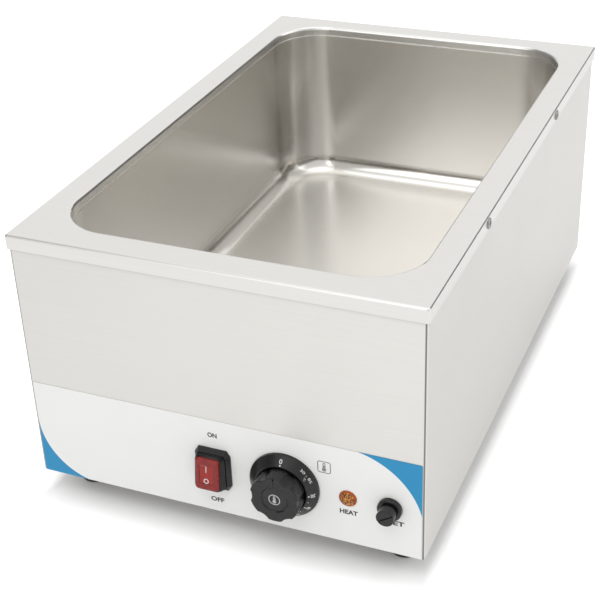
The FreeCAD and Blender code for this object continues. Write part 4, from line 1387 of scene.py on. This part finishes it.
@dataclass
class RockerSwitch(Assembly):
    """The rocker with its bezel, its lens, its two marks and its folded boot."""

    nodes: tuple[str, ...] = (
        "switch_frame", "switch_housing", "switch_terminals", "switch_rocker", "switch_lens",
        "switch_carrier", "switch_boot",
    )
    pivot: Spot = (-5.7, -267.5, 68.0)
    tilt: float = 8.4
    lens_face: float = 14.75
    bar_centre: Point = (-0.45, 4.9)
    bar_size: Point = (0.62, 5.8)
    painted_highlight_width: float = 0.34
    window_size: Point = (12.35, 15.55)
    window_line: float = 0.42
    ring_centre: Point = (-0.3, -5.5)
    ring_radius: float = 1.85
    ring_line: float = 0.7
    ring_steps: int = 40
    boot_base: float = 2.7
    boot_neck: float = 5.7
    boot_top: float = 12.1
    boot_foot_size: Point = (22.2, 30.2)
    boot_bulge_size: Point = (25.2, 33.2)
    boot_head_size: Point = (22.8, 30.0)
    boot_corner: float = 4.2
    boot_corner_steps: int = 5
    blend_start: float = 5.7
    blend_end: float = 11.7
    folds: float = 2.5
    rings: int = 50

    def rocker_place(self, outward: float, share: float = 1.0) -> Placement:
        """A place that tilts with the rocker.

        Args:
            outward: Its distance from the pivot, in millimetres.
            share: How much of the tilt it has.

        Returns:
            The place.
        """
        turn = math.radians(self.tilt) * share
        out = Vector((0, -math.cos(turn), math.sin(turn)))
        up = Vector((0, math.sin(turn), math.cos(turn)))
        origin = Vector(self.pivot) * MM + out * outward * MM
        return Placement(origin, up=up, out=out)

    def seam(self) -> None:
        """Draw a dark band round the lens, a painted shade for the gap between lens and rocker."""
        place = self.rocker_place(self.lens_face)
        seam = Mark()
        wide, high = (side / 2 * MM for side in self.window_size)
        corners = [(-wide, -high), (wide, -high), (wide, high), (-wide, high)]
        for start, end in zip(corners, corners[1:] + corners[:1]):
            seam.band([start, end], self.window_line * MM, place)
        seam.piece("switch_lens_seam", self.paint.ink(Ink.SEAM), Body.ROCKER)

    def marks(self) -> None:
        """Print the bar of the ON end and the ring of the OFF end, with a thin white line to the
        bar's top: a painted highlight on the window's top edge.
        """
        place = self.rocker_place(self.lens_face)
        mark = Mark()
        middle, level = self.bar_centre
        foot, head = metres(level - self.bar_size[1] / 2, level + self.bar_size[1] / 2)
        width = self.bar_size[0]
        mark.band([(middle * MM, foot), (middle * MM, head)], width * MM, place)
        # A painted highlight: a thin white line along the window's top edge, joining the bar's
        # top.
        start, end = metres(self.window_line - self.window_size[0] / 2, middle + width / 2)
        mark.band([(start, head), (end, head)], self.painted_highlight_width * MM, place)
        ring = ring_points(metres(*self.ring_centre), self.ring_radius * MM, self.ring_steps)
        mark.band(ring, self.ring_line * MM, place, closed=True)
        mark.piece("switch_marks", self.paint.ink(Ink.WHITE), Body.ROCKER)

    def boot_levels(self) -> list[tuple[float, float, Point]]:
        """The boot's rings from foot to head.

        Returns:
            Each ring's height, its share of the tilt and its width and height.
        """
        foot, bulge, head = self.boot_foot_size, self.boot_bulge_size, self.boot_head_size
        levels = [(self.boot_base, 0.0, foot)]
        for ring in range(self.rings + 1):
            share = ring / self.rings
            wave = 0.5 + 0.5 * math.cos(2 * math.pi * self.folds * share)
            inward = wave * (1 - share / 2)
            size = tuple(
                b + (h - b) * share - (b - f) * inward for f, b, h in zip(foot, bulge, head)
            )
            height = self.boot_neck + (self.boot_top - self.boot_neck) * share
            levels.append((height, share, size))
        return levels

    def boot(self) -> None:
        """Build the folded rubber boot between the bezel and the rocker."""
        shape = bmesh.new()
        rows = []
        for level, share, size in self.boot_levels():
            place = self.rocker_place(level, share)
            outline = rounded_box(*metres(*size, self.boot_corner), self.boot_corner_steps)
            rows.append([shape.verts.new(place.at(x, z, 0.0)) for x, z in outline])
        for first, second in zip(rows, rows[1:]):
            stitch(shape, first, second)
        shape.faces.new(rows[-1])
        shape.faces.new(list(reversed(rows[0])))
        mesh = mesh_from("switch_bellows", shape, smooth=True)
        boot = link_piece("switch_bellows", mesh, self.paint.finish("boot_rubber"))
        centre, out = Vector(self.pivot) * MM, self.rocker_place(0.0).out
        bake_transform(boot)
        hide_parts("switch_boot")
        LOG.info("switch_bellows folded")

    def add(self) -> None:
        """Make the painted gap shade round the lens, the marks and the boot."""
        self.seam()
        self.marks()
        self.boot()


@dataclass
class ThermostatDial(Assembly):
    """The fixed scale ring, the grip with its cap disc, and the spindle behind them."""

    nodes: tuple[str, ...] = (
        "dial_ring", "thermostat_knob", "knob_cap", "thermostat_spindle",
    )
    centre: Point = (55.0, 68.0)
    cone_foot: Point = (29.0, 2.4)
    cone_top: Point = (22.05, 8.5)
    ink_depth: float = 0.06
    stroke: float = 0.01
    digit_size: Point = (3.4, 3.8)
    digit_level: float = -0.1
    zero_level: float = -0.3
    scale_start: float = 92.0
    scale_step: float = 31.0
    numbers: tuple[str, ...] = ("30", "40", "50", "60", "70", "80")
    dot_level: float = -3.5
    dot_radius: float = 0.7
    small_dot_level: float = -3.2
    small_dot_radius: float = 0.42
    dot_sides: int = 12
    range_words: str = "30 - 85"
    range_angle: float = 51.6
    range_size: Point = (13.2, 2.0)
    range_level: float = 1.0
    unit_angle: float = 53.7
    unit_height: float = 1.9
    unit_level: float = -1.9
    icon_radius: float = 4.5
    icon_line: float = 0.5
    icon_steps: int = 48
    sign_share: float = 1.4
    sign_line: float = 0.42

    def cone_place(self, degrees: float) -> ConePlacement:
        """A place on the scale ring.

        Args:
            degrees: Its angle clockwise from the top.

        Returns:
            The place.
        """
        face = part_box("fascia_label")[0].y
        centre = on_front(face, self.centre).origin
        foot, top = metres(*self.cone_foot), metres(*self.cone_top)
        return ConePlacement(centre, foot, top, math.radians(degrees))

    def dot(self, mark: Mark, angle: float, level: float, radius: float) -> None:
        """Print a dot at an angle of the scale."""
        mark.disc((0.0, level * MM), radius * MM, self.cone_place(angle), self.dot_sides)

    def scale(self) -> None:
        """Print the numbers and dots of the scale."""
        mark = Mark(*metres(self.ink_depth, self.ink_depth))
        width, height = metres(*self.digit_size)
        low = (0.0, self.zero_level * MM)
        mark.words("0", self.cone_place(0), height=height, weight=self.stroke, centre=low)
        self.dot(mark, 0, self.dot_level, self.dot_radius)
        place = self.cone_place(self.range_angle)
        middle = (0.0, self.range_level * MM)
        mark.words(self.range_words, place, *metres(*self.range_size), centre=middle)
        place = self.cone_place(self.unit_angle)
        middle = (0.0, self.unit_level * MM)
        mark.words("°C", place, height=self.unit_height * MM, centre=middle)
        middle = (0.0, self.digit_level * MM)
        for index, number in enumerate(self.numbers):
            angle = self.scale_start + self.scale_step * index
            mark.words(number, self.cone_place(angle), width, height, self.stroke, middle)
            self.dot(mark, angle, self.dot_level, self.dot_radius)
            if index:
                between = angle - self.scale_step / 2
                self.dot(mark, between, self.small_dot_level, self.small_dot_radius)
        mark.piece("dial_scale_print", self.paint.ink(Ink.WHITE), Body.CASING)

    def pictogram(self) -> None:
        """Print the ring and thermometer on the cap disc."""
        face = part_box("knob_cap")[0].y
        place = on_front(face, self.centre)
        mark = Mark()
        radius, line, sign_line = metres(self.icon_radius, self.icon_line, self.sign_line)
        mark.band(ring_points((0.0, 0.0), radius, self.icon_steps), line, place, closed=True)
        Thermometer().draw(mark, place, radius * self.sign_share, sign_line)
        mark.piece("knob_pictogram", self.paint.ink(Ink.WHITE), Body.KNOB)

    def add(self) -> None:
        """Print the scale and the pictogram."""
        self.scale()
        self.pictogram()


@dataclass
class HeatLamp(Assembly):
    """The indicator lamp with its faceted lens."""

    nodes: tuple[str, ...] = ("lamp_body", "lamp_nut", "lamp_lens")
    facet_pitch: float = 1.35
    facet_lift: float = 0.5
    facet_margin: float = 0.45
    raised_every: int = 3
    rim_height: float = 0.5
    rim_sides: int = 48
    merge_distance: float = 1e-7

    def facet_corners(self, radius: float) -> tuple[list[Point], list[bool]]:
        """The corners of the facets, in an even lattice inside the rim.

        Args:
            radius: The lens's radius, in metres.

        Returns:
            The corners after those of the rim, and which of them are raised.
        """
        pitch = self.facet_pitch * MM
        points = ring_points((0.0, 0.0), radius, self.rim_sides)
        raised = [False] * len(points)
        reach = int(radius / pitch) + 2
        for row in range(-reach, reach + 1):
            for column in range(-reach, reach + 1):
                x = (column + row / 2) * pitch
                z = row * pitch * math.sqrt(3) / 2
                if math.hypot(x, z) < radius - pitch * self.facet_margin:
                    points.append((x, z))
                    raised.append((column - row) % self.raised_every == 0)
        return points, raised

    def add(self) -> None:
        """Build the lens as a dome of small pyramids."""
        low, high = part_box("lamp_lens")
        centre = (low + high) / 2
        radius = (high.x - low.x) / 2
        rim, lift = metres(self.rim_height, self.facet_lift)
        dome = high.y - low.y - rim - lift
        points, raised = self.facet_corners(radius)
        corners = [Vector(point) for point in points]
        flat, _, faces, _, _, _ = delaunay_2d_cdt(corners, [], [], 0, self.merge_distance)
        shape = bmesh.new()
        verts = []
        for index, place in enumerate(flat):
            share = min(1.0, place.length / radius)
            height = rim + dome * (1 - share * share) + (lift if raised[index] else 0.0)
            spot = (centre.x + place.x, high.y - height, centre.z + place.y)
            verts.append(shape.verts.new(spot))
        for face in faces:
            shape.faces.new([verts[index] for index in face])
        edge = verts[:self.rim_sides]
        base = [shape.verts.new((v.co.x, high.y, v.co.z)) for v in edge]
        stitch(shape, edge, base)
        shape.faces.new(base)
        mesh = mesh_from("lamp_faceted_lens", shape)
        lens = link_piece("lamp_faceted_lens", mesh, self.paint.finish("lamp_amber"))
        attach(lens, Body.CASING.value)
        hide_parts("lamp_lens")
        LOG.info("lamp_faceted_lens cut")


@dataclass
class InnerParts(Assembly):
    """Everything behind the panels, and the connections at the rear."""


# Studio


@dataclass(frozen=True)
class RoomPatch:
    """A part of the room that the metal sees brighter or dimmer than white."""

    toward: Spot
    reach: Point
    change: float

    def level(self, graph: ShaderGraph, ray: SocketValue) -> NodeSocket:
        """What the patch adds to the room's level along a ray.

        Args:
            graph: The world's graph.
            ray: The direction looked in.

        Returns:
            The change, with soft edges.
        """
        toward = tuple(Vector(self.toward).normalized())
        facing = graph.vector("DOT_PRODUCT", ray, toward).outputs["Value"]
        return graph.remap(facing, *self.reach, 0.0, self.change)


@dataclass(frozen=True)
class SoftLamp:
    """A square soft lamp, in metres. A radiance of 1 is as bright as white."""

    name: str
    place: Spot
    target: Spot
    size: float
    radiance: float

    def hang(self) -> None:
        """Hang the lamp, unseen by the metal, and aim it."""
        light = bpy.data.lights.new(self.name, "AREA")
        light.shape = "SQUARE"
        light.size = self.size
        light.energy = self.radiance * self.size * self.size * math.pi
        lamp = bpy.data.objects.new(self.name, light)
        lamp.location = self.place
        lamp.visible_glossy = False
        aim = Vector(self.target) - Vector(self.place)
        lamp.rotation_euler = aim.to_track_quat("-Z", "Y").to_euler()
        bpy.context.scene.collection.objects.link(lamp)


@dataclass
class Studio:
    """The pale floor, the soft light and the camera.

    Round the object's footprint the floor is only lit, so that it keeps the shadow. Further out
    it also glows for the camera, which makes it white, and by a share for metal and glass. The
    glow rises over a band of distance, faster beside the object, and so lays a painted shade
    round the footprint. The footprint and the band of the glow are in millimetres, all other
    lengths in metres.
    """

    floor_half: float = 6.0
    floor_cells: int = 24
    floor_albedo: float = 0.90
    floor_mottle: float = 0.995
    mottle_scale: float = 0.004
    mottle_band: Point = (0.3, 0.7)
    floor_roughness: float = 0.9
    floor_specular: float = 0.2
    footprint: Point = (168.2, 268.2)
    floor_glow: float = 0.38
    painted_shade_band: Point = (-20.0, 30.0)
    mirrored_share: float = 0.2
    painted_shade_side_gain: float = 3.4
    sky_fill: float = 0.92
    patches: tuple[RoomPatch, ...] = (
        RoomPatch((-0.95, -0.25, 0.25), (0.50, 0.85), -0.72),
        RoomPatch((-0.30, -0.82, 0.50), (0.90, 0.98), 0.90),
        RoomPatch((0.00, 0.00, 1.00), (0.84, 0.97), 0.60),
        RoomPatch((0.75, -0.60, 0.30), (0.55, 0.90), -0.25),
        RoomPatch((0.90, 0.25, 0.45), (0.80, 0.96), 0.60),
        RoomPatch((0.58, 0.79, 0.12), (0.90, 0.96), -1.60),
    )
    darkest: float = 0.02
    lamps: tuple[SoftLamp, ...] = (
        SoftLamp("key_lamp", (0.3, -1.6, 2.3), (0.0, 0.0, 0.1), 1.1, 3.0),
        SoftLamp("side_lamp", (2.0, 0.4, 1.7), (0.1, 0.0, 0.1), 0.9, 2.5),
    )
    lens: float = 80.558
    sensor: float = 36.0
    view_depth: float = 60.0
    camera_place: Spot = (0.4006, -1.0169, 0.7140)
    camera_right: Spot = (0.92386, 0.38114, -0.03477)
    camera_ahead: Spot = (-0.34535, 0.79103, -0.50498)

    def glow(self, graph: ShaderGraph) -> NodeSocket:
        """How much the floor glows at a place, growing away from the object, so that a painted
        shade lies round the footprint.

        Args:
            graph: The floor's graph.

        Returns:
            The strength of its glow.
        """
        # Less glow near the footprint paints shade round it, narrower beside the object than
        # before it.
        beside, before = (
            graph.calc("SUBTRACT", graph.calc("ABSOLUTE", place), half)
            for place, half in zip(graph.split(graph.millimetres()), self.footprint)
        )
        beside = graph.calc("MULTIPLY", beside, self.painted_shade_side_gain)
        distance = graph.calc("MAXIMUM", beside, before)
        return graph.remap(distance, *self.painted_shade_band, 0.0, self.floor_glow)

    def floor(self) -> None:
        """Lay the floor, which takes the shadow and is white where it is open."""
        shape = bmesh.new()
        cells = self.floor_cells
        bmesh.ops.create_grid(shape, x_segments=cells, y_segments=cells, size=self.floor_half)
        surface = Surface("studio_floor")
        albedo = scaled(WHITE, self.floor_albedo)
        grain = surface.noise(surface.millimetres(), self.mottle_scale, detail=3.0)
        share = surface.remap(grain, *self.mottle_band)
        path = surface.node("ShaderNodeLightPath").outputs
        mirrored = surface.calc("MULTIPLY", surface.mirrored(path), self.mirrored_share)
        seen = surface.calc("ADD", path["Is Camera Ray"], mirrored)
        surface.put(
            Base_Color=surface.blend(share, albedo, scaled(albedo, self.floor_mottle)),
            Roughness=self.floor_roughness,
            Specular_IOR_Level=self.floor_specular,
            Emission_Color=WHITE,
            Emission_Strength=surface.calc("MULTIPLY", seen, self.glow(surface)),
        )
        floor = link_piece("studio_floor", mesh_from("studio_floor", shape), surface.material)

    def world(self) -> None:
        """Surround the object with a white room, in which metal sees soft boxes and screens."""
        world = bpy.data.worlds.new("studio_room")
        world.use_nodes = True
        world.cycles.sampling_method = "NONE"
        bpy.context.scene.world = world
        world.node_tree.nodes.clear()
        graph = ShaderGraph(world.node_tree)
        ray = graph.node("ShaderNodeTexCoord").outputs["Generated"]
        lit: SocketValue = 1.0
        for patch in self.patches:
            lit = graph.calc("ADD", lit, patch.level(graph, ray))
        level = graph.calc("MAXIMUM", lit, self.darkest)
        room, fill, white = (
            graph.node("ShaderNodeBackground", {"Color": colour, "Strength": strength}).outputs[0]
            for colour, strength in (
                (graph.join(level, level, level), 1.0), (WHITE, self.sky_fill), (WHITE, 1.0),
            )
        )
        path = graph.node("ShaderNodeLightPath").outputs
        direct = graph.calc("LESS_THAN", path["Diffuse Depth"], 0.5)
        around = graph.mix(graph.calc("MULTIPLY", graph.mirrored(path), direct), fill, room)
        seen = graph.mix(path["Is Camera Ray"], around, white)
        graph.node("ShaderNodeOutputWorld", {"Surface": seen})

    def camera(self) -> None:
        """Set up the camera where the object was seen from."""
        data = bpy.data.cameras.new("camera")
        data.lens = self.lens
        data.sensor_width = self.sensor
        data.clip_end = self.view_depth
        camera = bpy.data.objects.new("camera", data)
        right = Vector(self.camera_right).normalized()
        back = -Vector(self.camera_ahead).normalized()
        up = back.cross(right).normalized()
        right = up.cross(back)
        turn = Matrix((right, up, back)).transposed().to_4x4()
        camera.matrix_world = Matrix.Translation(self.camera_place) @ turn
        bpy.context.scene.collection.objects.link(camera)
        bpy.context.scene.camera = camera

    def build(self) -> None:
        """Set up camera, floor, room and lamps."""
        bpy.context.scene.view_settings.view_transform = "Standard"
        self.camera()
        self.floor()
        self.world()
        for lamp in self.lamps:
            lamp.hang()


def main() -> None:
    """Build the studio and the sub-assemblies in order."""
    logging.basicConfig(level=logging.INFO, format="%(name)s: %(message)s")
    Studio().build()
    paint = Paintwork()
    dressed: set[str] = set()
    for kind in (SteelShell, Feet, FrontFilm, RockerSwitch, ThermostatDial, HeatLamp):
        assembly = kind(paint)
        assembly.build()
        dressed.update(assembly.nodes)
    rest = tuple(name for name in sorted(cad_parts) if name not in dressed)
    InnerParts(paint, rest).build()


if __name__ == "__main__":
    main()
